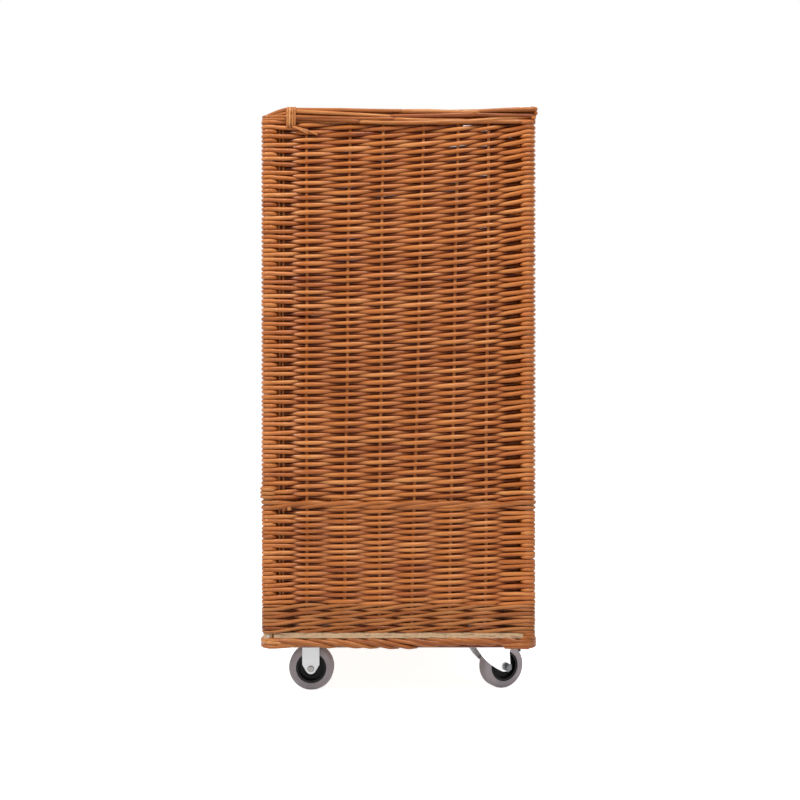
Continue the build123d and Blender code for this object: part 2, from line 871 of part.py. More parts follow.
def castor_washer(x, y):
    """Washer under a castor plate."""
    low = plate_bottom - castor_washer_thickness
    washer = upright(castor_washer_diameter / 2, low, plate_bottom, x, y)
    radius = castor_bolt_diameter / 2 + bolt_clearance
    return washer - upright(radius, low - cut_past, plate_bottom + cut_past, x, y)


def castor_nut(x, y):
    """Nut under a washer."""
    low = plate_bottom - castor_washer_thickness - castor_nut_thickness
    nut = Pos(x, y, low) * hexagon(castor_nut_flats, castor_nut_thickness)
    radius = castor_bolt_diameter / 2 + bolt_clearance
    return nut - upright(radius, low - cut_past, low + castor_nut_thickness + cut_past, x, y)


front_castor = Pos(castor_x, -castor_y, 0)
back_castor_plate = Pos(castor_x, castor_y, 0)
back_castor = back_castor_plate * Rot(0, 0, swivel_rest_angle)
back_wheel = back_castor * Pos(0, castor_trail, 0)

nodes = {}


def add_pair(name, shape):
    """A piece of the right side and its twin on the left."""
    nodes[name + "_right"] = shape
    nodes[name + "_left"] = mirrored(shape)


def add_both(name, shapes):
    """Pieces of the right side and their twins on the left in one sub-part."""
    nodes[name] = group(list(shapes) + [mirrored(shape) for shape in shapes])


nodes["base_board"] = base_board()
add_both("front_posts", [post(front_post_top, -1)])
add_both("back_posts", [post(upper_weave_top, 1)])
front_wraps = [
    wrap(board_top, middle_wale_top, -1),
    wrap(front_border_top, front_post_top - post_end_reveal, -1),
]
add_both("front_post_wraps", front_wraps)
add_both("back_post_wraps", [wrap(board_top, upper_weave_top - post_end_reveal, 1)])
nodes["corner_nails"] = group(four_corners(at_corner_nails(nail())))
right_stakes = group(side_stakes())
add_pair("side_stakes", right_stakes)
back_stake_top = upper_weave_top + stake_seat
front_stake_top = middle_wale_top + stake_seat
nodes["back_stakes"] = group([stake(x, post_y, back_stake_top) for x in end_places])
nodes["front_stakes"] = group([stake(x, -post_y, front_stake_top) for x in end_places])
nodes["foot_border"] = foot_border()
nodes["upsett_wale"] = wale_ring(board_top, upsett_top)
add_pair("lower_weave", side_weave(upsett_top, lower_weave_top))
lower_end_weave = end_weave(upsett_top, lower_weave_top)
nodes["lower_weave_back"] = onto_back(lower_end_weave)
nodes["lower_weave_front"] = onto_front(lower_end_weave)
nodes["middle_wale"] = wale_ring(lower_weave_top, middle_wale_top)
add_pair("upper_weave", side_upper_weave())
nodes["upper_weave_back"] = onto_back(end_weave(middle_wale_top, upper_weave_top))
nodes["front_border"] = front_border()
add_pair("top_border", side_top_border())
nodes["top_border_back"] = back_top_border()
add_both("border_ties", tie_loops(tie_diameter / 2))

add_pair("fixed_bracket", front_castor * fixed_bracket())
add_both("front_axle_rivets", [front_castor * axle_rivet()])
add_both("front_axle_sleeves", [front_castor * axle_sleeve()])
add_pair("hub_front", front_castor * wheel_hub())
add_pair("tyre_front", front_castor * tyre())

add_both("swivel_plates", [back_castor_plate * swivel_plate()])
add_both("kingpins", [back_castor_plate * kingpin()])
add_both("swivel_balls", [back_castor_plate * ball for ball in bearing_balls()])
add_pair("swivel_fork", back_castor * swivel_fork())
add_pair("axle_bolt", back_castor * axle_bolt())
add_pair("axle_nut", back_castor * axle_nut())
add_pair("axle_sleeve_back", back_wheel * axle_sleeve())
add_pair("hub_back", back_wheel * wheel_hub())
add_pair("tyre_back", back_wheel * tyre())
add_pair("brake_lever", back_castor * brake_lever())
add_pair("brake_shoe", back_castor * brake_shoe())
add_pair("brake_pins", group([back_castor * pin for pin in brake_pins()]))

bolt_places = castor_bolt_places()
nodes["castor_bolts"] = group([carriage_bolt(x, y) for x, y in bolt_places])
nodes["castor_washers"] = group([castor_washer(x, y) for x, y in bolt_places])
nodes["castor_nuts"] = group([castor_nut(x, y) for x, y in bolt_places])

os.makedirs("parts", exist_ok=True)
for name, shape in nodes.items():
    export_step(shape, f"parts/{name}.step")
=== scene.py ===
import json
import math

import bpy
import numpy as np
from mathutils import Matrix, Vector


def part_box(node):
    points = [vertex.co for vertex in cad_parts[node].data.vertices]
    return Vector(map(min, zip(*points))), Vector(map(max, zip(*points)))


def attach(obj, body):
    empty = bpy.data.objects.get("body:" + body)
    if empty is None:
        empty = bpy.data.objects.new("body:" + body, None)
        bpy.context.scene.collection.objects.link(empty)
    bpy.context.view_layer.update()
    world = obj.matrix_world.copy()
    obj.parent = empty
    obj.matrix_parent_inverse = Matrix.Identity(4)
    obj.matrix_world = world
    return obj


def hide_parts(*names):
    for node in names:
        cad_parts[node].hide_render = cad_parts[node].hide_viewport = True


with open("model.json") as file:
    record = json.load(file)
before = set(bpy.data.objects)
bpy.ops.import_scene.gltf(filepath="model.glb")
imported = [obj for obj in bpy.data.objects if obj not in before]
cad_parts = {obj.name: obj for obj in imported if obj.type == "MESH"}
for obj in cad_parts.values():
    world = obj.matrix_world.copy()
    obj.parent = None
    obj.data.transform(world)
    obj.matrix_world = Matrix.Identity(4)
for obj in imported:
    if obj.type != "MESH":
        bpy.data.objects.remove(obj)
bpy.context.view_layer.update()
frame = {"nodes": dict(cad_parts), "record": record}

# The cart stands on the floor with its open front towards -Y. All lengths are in metres, and MM
# turns a number of millimetres into metres.
MM = 0.001


def mm(*values):
    """Millimetres turned into metres."""
    return [value * MM for value in values]


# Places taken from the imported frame
post_radius = 8.5 * MM
post_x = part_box("back_posts")[1].x - post_radius
post_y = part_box("back_posts")[1].y - post_radius
board_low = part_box("base_board")[0].z
board_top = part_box("base_board")[1].z
upsett_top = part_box("upsett_wale")[1].z
lower_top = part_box("lower_weave_right")[1].z
wale_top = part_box("middle_wale")[1].z
front_border_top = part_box("front_border")[1].z
upper_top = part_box("upper_weave_right")[1].z
border_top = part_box("top_border_back")[1].z
foot_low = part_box("foot_border")[0].z
stake_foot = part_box("back_stakes")[0].z
tie_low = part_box("border_ties")[0].z
tie_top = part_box("border_ties")[1].z

# Willow rods
rod_sides = 8
rod_radius = 3.6 * MM
rod_spread = 0.055
rod_taper = 0.12
rod_swelling = 0.045
end_rounding = 0.35
end_narrowing = 0.72
size_limits = (0.88, 1.16)
piece_scale = (0.95, 1.07)
swelling_waves = (4, 12)
sample_length = 8 * MM

# Rows of the weave: how deep they swing, how they stray, and where rods are joined
weave_depth = 3.6 * MM
height_jitter = 0.30 * MM
gap_chance = 0.005
gap_opening = 0.55 * MM
splice_chance = 0.1
tail_length = 7 * MM
tail_depth = 1.8 * MM
tail_narrowing = 0.92
inner_rise = 0.9 * MM
middle_height = 485 * MM
row_straightness = 0.5
slope_step = 10 * MM
row_pitch = 5.85 * MM
lower_pitch = 5.1 * MM
held_below = 4 * MM
turned_below = 1 * MM
fan_power = 2.0

# Turns round the posts
wrap_depth = 9.0 * MM
wrap_rod_radius = 3.45 * MM
inner_rod_radius = 3.8 * MM
turn_jitter = 0.3 * MM
turn_pull = 0.7
near_post = 21 * MM
beside_post_depth = 4.8 * MM
open_loop = mm(10.4, 8.9, 1.5)
corner_loop = mm(9.7, 9.7, 1.2)
loop_tilt = 0.9 * MM
turn_height = 7.4 * MM
lower_turn_height = 6.6 * MM

# Inside rods at the posts: the way from the post and the depth, and for open posts the rise too
inner_corner = (mm(62, 10.5), mm(40, 9.0), mm(24, 10.0), mm(15, 12.5))
inner_open = [
    (*mm(8, 9.4), 0), (*mm(20, 9.6), 1), (*mm(36, 9.0), 2), (*mm(52, 9.6), 2), (*mm(68, 11.0), 2),
]

# Stakes: places on the side walls at the wale and at the top, and thin ones by the front posts
side_stakes_low = mm(-149, -86, -30, 26, 86, 142)
side_stakes_high = mm(-149, -79, -25, 41, 97, 147)
edge_stakes = mm(-193.6, -187.4)
edge_stake_radius = 2.0 * MM
stake_radius = 2.9 * MM
stake_taper = 0.86
stake_wander = 0.6 * MM
stake_rise = 8 * MM
edge_stake_rise = 6 * MM

rng = np.random.default_rng(7)
up = np.array([0.0, 0.0, 1.0])


def stray():
    """A random share near 1, for the girth of a rod."""
    return rng.normal(1, rod_spread)


def unit(rows):
    """Each row scaled to a length of 1."""
    return rows / np.linalg.norm(rows, axis=-1, keepdims=True)


def new_object(name, data):
    """A new object in the scene."""
    thing = bpy.data.objects.new(name, data)
    bpy.context.scene.collection.objects.link(thing)
    return thing


class RodMesh:
    """Round rods gathered into one mesh, with a tone for each, and length and girth as UV."""

    def __init__(self):
        self.points = []
        self.faces = []
        self.smooth = []
        self.uv = []
        self.tone = []
        self.warmth = []
        self.count = 0

    def add(self, path, radii, tone=None, across=(0, 0, 1)):
        """One rod along a path. across is a direction that the path never follows."""
        sides = rod_sides
        path = np.asarray(path, float)
        radii = np.broadcast_to(radii, len(path)).astype(float)
        ahead = unit(np.gradient(path, axis=0))
        tips = ahead[[0, -1]] * radii[[0, -1], None] * end_rounding
        path = np.concatenate([path[:1] - tips[:1], path, path[-1:] + tips[1:]])
        radii = np.concatenate([radii[:1] * end_narrowing, radii, radii[-1:] * end_narrowing])
        ahead = np.concatenate([ahead[:1], ahead, ahead[-1:]])
        right = unit(np.cross(ahead, across))[:, None, :]
        above = np.cross(right[:, 0], ahead)[:, None, :]
        turn = np.arange(sides)[None, :, None] * 2 * math.pi / sides
        ring = np.cos(turn) * right + np.sin(turn) * above
        body = path[:, None, :] + radii[:, None, None] * ring
        rings = len(path)
        i, j = np.meshgrid(np.arange(rings - 1), np.arange(sides), indexing="ij")
        after = (j + 1) % sides
        low, high = i * sides, (i + 1) * sides
        quads = np.stack([low + j, low + after, high + after, high + j], -1)
        quads = quads.reshape(-1, 4) + self.count
        first = (np.arange(sides)[::-1] + self.count).tolist()
        last = (np.arange(sides) + (rings - 1) * sides + self.count).tolist()
        self.faces += quads.tolist() + [first, last]
        self.smooth += [True] * len(quads) + [False, False]
        offset = rng.uniform(0, 4)
        steps = np.linalg.norm(np.diff(path, axis=0), axis=1)
        along = np.concatenate([[0], np.cumsum(steps)]) + offset
        girth = 2 * math.pi * rod_radius / sides
        near, far = j * girth, (j + 1) * girth
        start, end = along[i], along[i + 1]
        uv = np.stack([start, near, start, far, end, far, end, near], -1)
        caps = np.tile([offset, 0.0], 2 * sides)
        self.uv.append(np.concatenate([uv.reshape(-1), caps]))
        self.points.append(body.reshape(-1, 3))
        number = rings * sides
        self.tone.append(np.full(number, rng.normal() if tone is None else tone))
        self.warmth.append(np.full(number, rng.normal()))
        self.count += number

    def build(self, name, material, slot, *nodes):
        """Make the object, which rides on the basket and stands for the CAD nodes."""
        mesh = bpy.data.meshes.new(name)
        mesh.from_pydata(np.concatenate(self.points).tolist(), [], self.faces)
        mesh.polygons.foreach_set("use_smooth", self.smooth)
        mesh.uv_layers.new(name="RodUV").data.foreach_set("uv", np.concatenate(self.uv))
        for label, values in (("rod_tone", self.tone), ("rod_warmth", self.warmth)):
            layer = mesh.attributes.new(label, "FLOAT", "POINT")
            layer.data.foreach_set("value", np.concatenate(values))
        mesh.materials.append(material)
        piece = new_object(name, mesh)
        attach(piece, "basket")
        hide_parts(*nodes)


class Wall:
    """A wall's own axes: s along it from its first post, d out from its line of posts, z up."""

    def __init__(self, first_post, along, outward, length, stake_count):
        self.first_post = np.array([*first_post, 0.0])
        self.along = np.array([*along, 0.0])
        self.outward = np.array([*outward, 0.0])
        self.length = length
        self.stake_count = stake_count

    def post(self, at_end):
        """The place of the wall's last or first post."""
        return self.length if at_end else 0.0

    def at(self, s, d, z):
        """World points from the wall's own places, given as numbers or arrays."""
        s, d, z = (values[..., None] for values in np.broadcast_arrays(s, d, z))
        return self.first_post + s * self.along + d * self.outward + z * up


# The four walls in the order in which the rods go round
right_wall = Wall((post_x, -post_y), (0, 1), (1, 0), 2 * post_y, 6)
back_wall = Wall((post_x, post_y), (-1, 0), (0, 1), 2 * post_x, 8)
left_wall = Wall((-post_x, post_y), (0, -1), (-1, 0), 2 * post_y, 6)
front_wall = Wall((-post_x, -post_y), (1, 0), (0, -1), 2 * post_x, 8)
walls = [right_wall, back_wall, left_wall, front_wall]
side_walls = [right_wall, left_wall]
stations = sum(wall.stake_count + 1 for wall in walls)

# The station where the wales begin
wale_seam = 19


def stake_places(wall, z):
    """Where a wall's stakes stand at a height. The side stakes lean as they rise."""
    if wall not in side_walls:
        return [wall.length * (i + 1) / (wall.stake_count + 1) for i in range(wall.stake_count)]
    share = (z - wale_top) / (upper_top - wale_top)
    pairs = zip(side_stakes_low, side_stakes_high)
    places = [post_y + low + share * (high - low) for low, high in pairs]
    if wall is right_wall:
        return places
    return [wall.length - s for s in reversed(places)]


def station(wall, i):
    """The number round the cart of a wall's stake. The post before its first stake has i = -1."""
    return sum(w.stake_count + 1 for w in walls[:walls.index(wall)]) + 1 + i


def from_front(wall, s):
    """A side wall's place, counted from its front post."""
    return s if wall is right_wall else wall.length - s


def corner_axes(before, after):
    """The directions from a corner post into the cart and across the corner."""
    return -unit(before.outward + after.outward), unit(before.outward - after.outward)


def raised(z):
    """How much higher a rod lies where it passes inside."""
    return inner_rise * (z - middle_height) / (border_top - middle_height)


class Knot:
    """A place that a rod passes, the direction it has there and its radius."""

    def __init__(self, point, ahead, radius):
        self.point = np.array(point, float)
        self.ahead = np.array(ahead, float)
        self.radius = radius


def turned(knots):
    """The same rod from its other end."""
    return [Knot(knot.point, -knot.ahead, knot.radius) for knot in reversed(knots)]


def thread(knots, straightness=0.0):
    """Points and radii of a smooth rod through its knots, or straight ones with straightness 1."""
    points = [knots[0].point]
    radii = [knots[0].radius]
    for a, b in zip(knots, knots[1:]):
        chord = np.linalg.norm(b.point - a.point)
        steps = max(2, int(round(chord / sample_length)))
        for i in range(1, steps + 1):
            t = i / steps
            rise = t * t * (3 - 2 * t)
            start = chord * t * (1 - t) ** 2 * a.ahead
            end = chord * t * t * (t - 1) * b.ahead
            curve = a.point * (1 - rise) + b.point * rise + start + end
            chord_point = a.point * (1 - t) + b.point * t
            points.append(curve + straightness * (chord_point - curve))
            radii.append(a.radius + (b.radius - a.radius) * t)
    waves = np.linspace(0, rng.uniform(*swelling_waves), len(radii)) + rng.uniform(0, 6)
    return np.array(points), np.array(radii) * (1 + rod_swelling * np.sin(waves))


def post_arc(centre, start, end, level, rod=wrap_rod_radius):
    """Knots of a quarter turn round a post, from one outward direction to the next."""
    knots = []
    for angle in np.linspace(0, math.pi / 2, 4):
        out = math.cos(angle) * start + math.sin(angle) * end
        ahead = -math.sin(angle) * start + math.cos(angle) * end
        knots.append(Knot(centre * (1, 1, 0) + level * up + wrap_depth * out, ahead, rod))
    return knots


def post_loop(mesh, centre, towards, outward, level, sizes, rod=wrap_rod_radius):
    """A spare turn round a post, shifted towards the wall, with its ends on the inside."""
    half_long, half_wide, shift = sizes
    angle = np.linspace(-0.5, 1.5, 19) * math.pi
    path = centre * (1, 1, 0) + shift * towards
    path = path + half_long * np.cos(angle)[:, None] * towards
    path = path + half_wide * np.sin(angle)[:, None] * outward
    path[:, 2] += level + loop_tilt * np.linspace(-1, 1, len(angle))
    mesh.add(path, rod * stray())


class Band:
    """Rows of rods woven over and under the stakes, all the way round or open at the front."""

    def __init__(self, z_low, z_high, z_stop, pitch, lift_low, lift_high, turn, closed):
        self.z_low = z_low
        self.z_stop = z_stop
        self.closed = closed
        turns = round((z_high - z_low) / turn)
        self.turn = (z_high - z_low) / turns
        self.levels = z_low + (np.arange(turns) + 0.5) * self.turn
        self.inner_levels = self.levels + 0.5 * self.turn
        self.first = -int(lift_low / pitch) - 1
        count = int((z_high - z_low) / pitch) - self.first + 6
        self.rows = range(self.first, self.first + count)
        self.size = np.clip(rng.normal(1, rod_spread, count), *size_limits)
        base = np.cumsum(pitch * (self.size + np.roll(self.size, 1)) / 2)
        self.base = base + z_low + pitch / 2 - base[-self.first]
        share = np.clip((self.base - z_low) / (z_high - z_low), 0, 1)
        self.lift = lift_low + (lift_high - lift_low) * share
        self.bend = rng.normal(0, height_jitter, (count, stations + 1))
        gaps = rng.random((count - 1, stations + 1)) < gap_chance
        self.bend[:-1] -= gap_opening * gaps
        self.bend[1:] += gap_opening * gaps

    def sign(self, k, n):
        """1 where row k passes outside station n, and -1 where it passes inside."""
        return 1 if (k + n) % 2 == 0 else -1

    def height(self, k, wall, s, n=0):
        """The height of row k at a place. Rows rise towards the back and stop at the next band."""
        row = k - self.first
        share = s / wall.length
        back = {right_wall: share, back_wall: 1.0, left_wall: 1 - share, front_wall: 0.0}[wall]
        height = self.base[row] + self.lift[row] * back ** fan_power + self.bend[row, n]
        return min(height, self.z_stop)

    def slope(self, k, wall, s):
        """The direction of row k along a wall."""
        rise = (self.height(k, wall, s + slope_step) - self.height(k, wall, s)) / slope_step
        return unit(wall.along + rise * up)

    def knot(self, k, wall, i):
        """Row k's knot at a wall's stake."""
        s = stake_places(wall, self.base[k - self.first])[i]
        n = station(wall, i)
        sign = self.sign(k, n)
        z = self.height(k, wall, s, n)
        point = wall.at(s, sign * weave_depth, z if sign > 0 else z + raised(z))
        return Knot(point, self.slope(k, wall, s), rod_radius * self.size[k - self.first])

    def tail(self, knot, wall, side):
        """The end of a rod, tucked in just past a stake on the inside."""
        point = knot.point + side * tail_length * knot.ahead - tail_depth * wall.outward
        return Knot(point, knot.ahead, tail_narrowing * knot.radius)

    def wall_row(self, mesh, k, wall):
        """Row k between the posts of a wall, as rods that begin and end behind stakes."""
        places = stake_places(wall, self.base[k - self.first])
        inside = [i for i, s in enumerate(places) if self.sign(k, station(wall, i)) < 0]
        bottom = self.z_low - held_below
        inside = [i for i in inside if self.height(k, wall, places[i]) > bottom]
        if len(inside) < 2 or all(self.height(k, wall, places[i]) == self.z_stop for i in inside):
            return
        breaks = [i for i in inside[1:-1] if rng.random() < splice_chance]
        for a, b in zip([inside[0]] + breaks, breaks + [inside[-1]]):
            knots = [self.knot(k, wall, i) for i in range(a, b + 1)]
            scale = rng.uniform(*piece_scale)
            taper = rng.uniform(-rod_taper, rod_taper)
            for j, knot in enumerate(knots):
                knot.radius *= scale + taper * (j / (len(knots) - 1) - 0.5)
            knots = [self.tail(knots[0], wall, -1)] + knots + [self.tail(knots[-1], wall, 1)]
            mesh.add(*thread(knots, row_straightness))

    def approach(self, k, wall, at_end, outer, level=None):
        """Row k's knots from its last hidden stake to just beside a post, near the post's level."""
        last = wall.stake_count - 1
        picked = [last] if at_end else [0]
        if not outer:
            picked = [last - 1, last] if at_end else [1, 0]
        knots = [self.knot(k, wall, i) for i in picked]
        s = wall.length - near_post if at_end else near_post
        z = self.height(k, wall, s)
        radius = knots[-1].radius
        if level is not None:
            z += turn_pull * (level - self.height(k, wall, wall.post(at_end)))
            radius = 0.5 * (radius + wrap_rod_radius)
        d = beside_post_depth if outer and level is not None else -beside_post_depth
        z += raised(z) if d < 0 else 0.0
        knots.append(Knot(wall.at(s, d, z), self.slope(k, wall, s), radius))
        if not at_end:
            knots = turned(knots)[::-1]
        return [self.tail(knots[0], wall, -1)] + knots

    def turns(self, wall, at_end, rows):
        """The level on a post that each outer row takes, and the levels that are left."""
        taken = {}
        last = -1
        for k in rows:
            z = self.height(k, wall, wall.post(at_end))
            level = max(int((z - self.z_low) / self.turn), last + 1)
            if level < len(self.levels):
                taken[k] = level
                last = level
        return taken, [j for j in range(len(self.levels)) if j not in taken.values()]

    def rows_at(self, wall, at_end):
        """The rows that meet a post between the bottom and the top of the band."""
        s = wall.post(at_end)
        bottom = self.z_low - turned_below
        return [k for k in self.rows if bottom < self.height(k, wall, s) < self.z_stop]

    def corner(self, mesh, before, after):
        """Rods that turn a closed corner outside and inside its post, with loops to fill it up."""
        n = station(after, -1)
        rows = self.rows_at(before, True)
        taken, free = self.turns(before, True, [k for k in rows if self.sign(k, n) > 0])
        for k in rows:
            outer = self.sign(k, n) > 0
            level = self.levels[taken[k]] + rng.normal(0, turn_jitter) if k in taken else None
            start = self.approach(k, before, True, outer, level)
            end = self.approach(k, after, False, outer, level)
            if k - 1 in taken and k + 1 in taken:
                between = 0.5 * (self.levels[taken[k - 1]] + self.levels[taken[k + 1]])
                pull = turn_pull * (between - self.height(k, before, before.length))
                for knots in (start, end):
                    knots[-1].point[2] += pull
            middle = []
            if k in taken:
                middle = post_arc(after.first_post, before.outward, after.outward, level)
            mesh.add(*thread(start + middle + turned(end)))
        towards, across = corner_axes(before, after)
        for j in free:
            level = self.levels[j] + rng.normal(0, turn_jitter)
            post_loop(mesh, after.first_post, towards, across, level, corner_loop)
        for level in self.inner_levels:
            z = level + raised(level)
            path = [before.at(before.length - away, -d, z) for away, d in inner_corner]
            path += [after.at(away, -d, z) for away, d in reversed(inner_corner)]
            mesh.add(path, inner_rod_radius * stray())

    def open_post(self, mesh, wall, at_end):
        """Rods that turn back round the post of an open side, with loops to fill it up."""
        n = station(wall, wall.stake_count) if at_end else station(wall, -1)
        rows = self.rows_at(wall, at_end)
        taken, free = self.turns(wall, at_end, [k for k in rows if self.sign(k, n) > 0])
        front = wall.along if at_end else -wall.along
        post_s = wall.post(at_end)
        centre = wall.at(post_s, 0, 0)
        top_level = len(self.levels) - 1
        for k, j in taken.items():
            if k + 1 not in self.rows:
                continue
            level = self.levels[j] + rng.normal(0, turn_jitter)
            start = self.approach(k, wall, at_end, True, level)
            end = self.approach(k + 1, wall, at_end, False)
            between = 0.5 * (self.levels[j] + self.levels[taken.get(k + 2, min(j + 2, top_level))])
            end[-1].point[2] += turn_pull * (between - self.height(k + 1, wall, post_s))
            middle = post_arc(centre, wall.outward, front, level)
            middle += post_arc(centre, front, -wall.outward, level + 0.25 * self.turn)[1:]
            mesh.add(*thread(start + middle + turned(end)))
        for j in free:
            level = self.levels[j] + rng.normal(0, turn_jitter)
            post_loop(mesh, centre, -front, wall.outward, level, open_loop)
        for level in self.inner_levels:
            path = []
            for away, d, rise in inner_open:
                place = centre * (1, 1, 0) - away * front - d * wall.outward
                path.append(place + (level + rise * raised(level)) * up)
            mesh.add(path, inner_rod_radius * stray())

    def weave(self, wall_meshes, front_corners, back_corners):
        """Make every rod of the band."""
        for wall in walls if self.closed else walls[:3]:
            for k in self.rows:
                self.wall_row(wall_meshes[wall], k, wall)
        self.corner(back_corners, right_wall, back_wall)
        self.corner(back_corners, back_wall, left_wall)
        if self.closed:
            self.corner(front_corners, left_wall, front_wall)
            self.corner(front_corners, front_wall, right_wall)
        else:
            self.open_post(front_corners, right_wall, False)
            self.open_post(front_corners, left_wall, True)


def wale_ring(mesh, z_low, rounds, pitch, rise, radius):
    """Rounds of a three-rod wale: each rod lies over two stakes and behind one, and climbs."""
    for turn in range(rounds):
        middle = z_low + (turn + 0.5) * pitch
        for rod in range(3):
            steps = range(wale_seam + rod, wale_seam + stations + 3, 3)
            knots = []
            for m in range(steps[0], steps[-1] + 1):
                phase = (m - steps[0]) % 3
                knots += wale_knots(m % stations, phase, middle, pitch, rise, radius)
            mesh.add(*thread(knots))


def wale_knots(n, phase, middle, pitch, rise, radius):
    """Knots of a wale rod at one station, inside it in phase 0 and outside it in the others."""
    wall = [w for w in walls if station(w, -1) <= n][-1]
    i = n - station(wall, 0)
    thick = radius * stray()
    if i >= 0:
        s = stake_places(wall, middle)[i]
        z = middle + (0.0, -0.5, 0.5)[phase] * rise + rng.normal(0, height_jitter)
        d = -weave_depth if phase == 0 else weave_depth + (radius - rod_radius)
        return [Knot(wall.at(s, d, z), unit(wall.along + (0.0, 0.10, 0.06)[phase] * up), thick)]
    before = walls[walls.index(wall) - 1]
    level = middle + (0.0, -0.25, 0.25)[phase] * pitch
    if phase:
        return post_arc(wall.first_post, before.outward, wall.outward, level, thick)
    return [
        Knot(before.at(before.length - near_post, -beside_post_depth, level), before.along, thick),
        Knot(wall.at(near_post, -beside_post_depth, level), wall.along, thick),
    ]


def add_stake(mesh, wall, low, high, z_low, z_high, radius):
    """One stake with a slight wander."""
    z = np.linspace(z_low, z_high, 24)
    share = (z - z_low) / (z_high - z_low)
    wander = stake_wander * np.sin(share * rng.uniform(8, 14) + rng.uniform(0, 6))
    s = low + (high - low) * share + wander
    radii = np.linspace(radius, radius * stake_taper, len(z))
    mesh.add(wall.at(s, 0.0, z), radii, across=wall.along)


class Nodes:
    """The node tree of a material or a world, with the shader that it starts with."""

    def __init__(self, owner, shader="Principled BSDF"):
        self.owner = owner
        owner.use_nodes = True
        self.tree = owner.node_tree
        self.shader = self.tree.nodes[shader]

    def add(self, kind, values=(), **settings):
        """A node with its settings, and values or links for its sockets by name or place."""
        node = self.tree.nodes.new("ShaderNode" + kind)
        for key, value in settings.items():
            setattr(node, key, value)
        for key, value in dict(values).items():
            self.put(node, key, value)
        return node

    def put(self, node, key, value):
        """Set a socket to a value, or link another node's socket to it."""
        if isinstance(value, bpy.types.NodeSocket):
            self.tree.links.new(value, node.inputs[key])
        else:
            node.inputs[key].default_value = value

    def math(self, operation, a, b=0.0, clamp=False):
        """The result of an operation on two values or sockets."""
        return self.add("Math", {0: a, 1: b}, operation=operation, use_clamp=clamp).outputs[0]

    def plus(self, start, value, gain, clamp=False):
        """A start with a share of a value added."""
        return self.math("ADD", start, self.math("MULTIPLY", value, gain), clamp)

    def mix(self, factor, a, b):
        """Two colours mixed."""
        node = self.add("Mix", {0: factor}, data_type="RGBA")
        self.put(node, 6, a)
        self.put(node, 7, b)
        return node.outputs[2]

    def noise(self, place, stretch, detail=3.0, roughness=0.5):
        """Noise from 0 to 1, stretched along its axes."""
        place = self.scaled(place, *stretch)
        values = {"Scale": 1.0, "Detail": detail, "Roughness": roughness, "Vector": place}
        return self.add("TexNoise", values).outputs["Fac"]

    def scaled(self, vector, x, y, z):
        """A vector stretched along its axes."""
        return self.add("Mapping", {"Vector": vector, "Scale": (x, y, z)}).outputs[0]

    def ramp(self, factor, stops):
        """A colour ramp with stops given as (place, colour)."""
        node = self.add("ValToRGB", {0: factor})
        while len(node.color_ramp.elements) < len(stops):
            node.color_ramp.elements.new(1.0)
        for element, (place, colour) in zip(node.color_ramp.elements, stops):
            element.position = place
            element.color = (*colour, 1)
        return node.outputs[0]

    def object_place(self):
        """The place in the object's own axes."""
        return self.add("TexCoord").outputs["Object"]

    def seen(self):
        """1 for the camera, mirrors and glass, and 0 for light on the object."""
        path = self.add("LightPath").outputs
        looks = self.math("ADD", path["Is Camera Ray"], path["Is Glossy Ray"], clamp=True)
        return self.math("ADD", looks, path["Is Transmission Ray"], clamp=True)

    def surface(self, colour, roughness, bump=None, depth=0.0, **values):
        """Set the shader's sockets, with a bump of a depth in metres."""
        values.update(Base_Color=colour, Roughness=roughness)
        for key, value in values.items():
            self.put(self.shader, key.replace("_", " "), value)
        if bump is not None:
            node = self.add("Bump", {"Height": bump, "Distance": depth, "Strength": 1.0})
            self.put(self.shader, "Normal", node.outputs[0])
        return self.owner


def new_nodes(name):
    """The node tree of a new material."""
    return Nodes(bpy.data.materials.new(name))


# Colours shared by all the willow, and how far out from the line of the posts the painted shade
# reaches: near that line the colour is painted darker, as shade deep between the rods
red_rod = (0.56, 0.17, 0.055, 1)
rod_knot = (0.12, 0.035, 0.012, 1)
painted_shade_colour = (0.085, 0.006, 0.0002, 1)
painted_shade_start = 0.3 * MM
painted_shade_end = 4.9 * MM


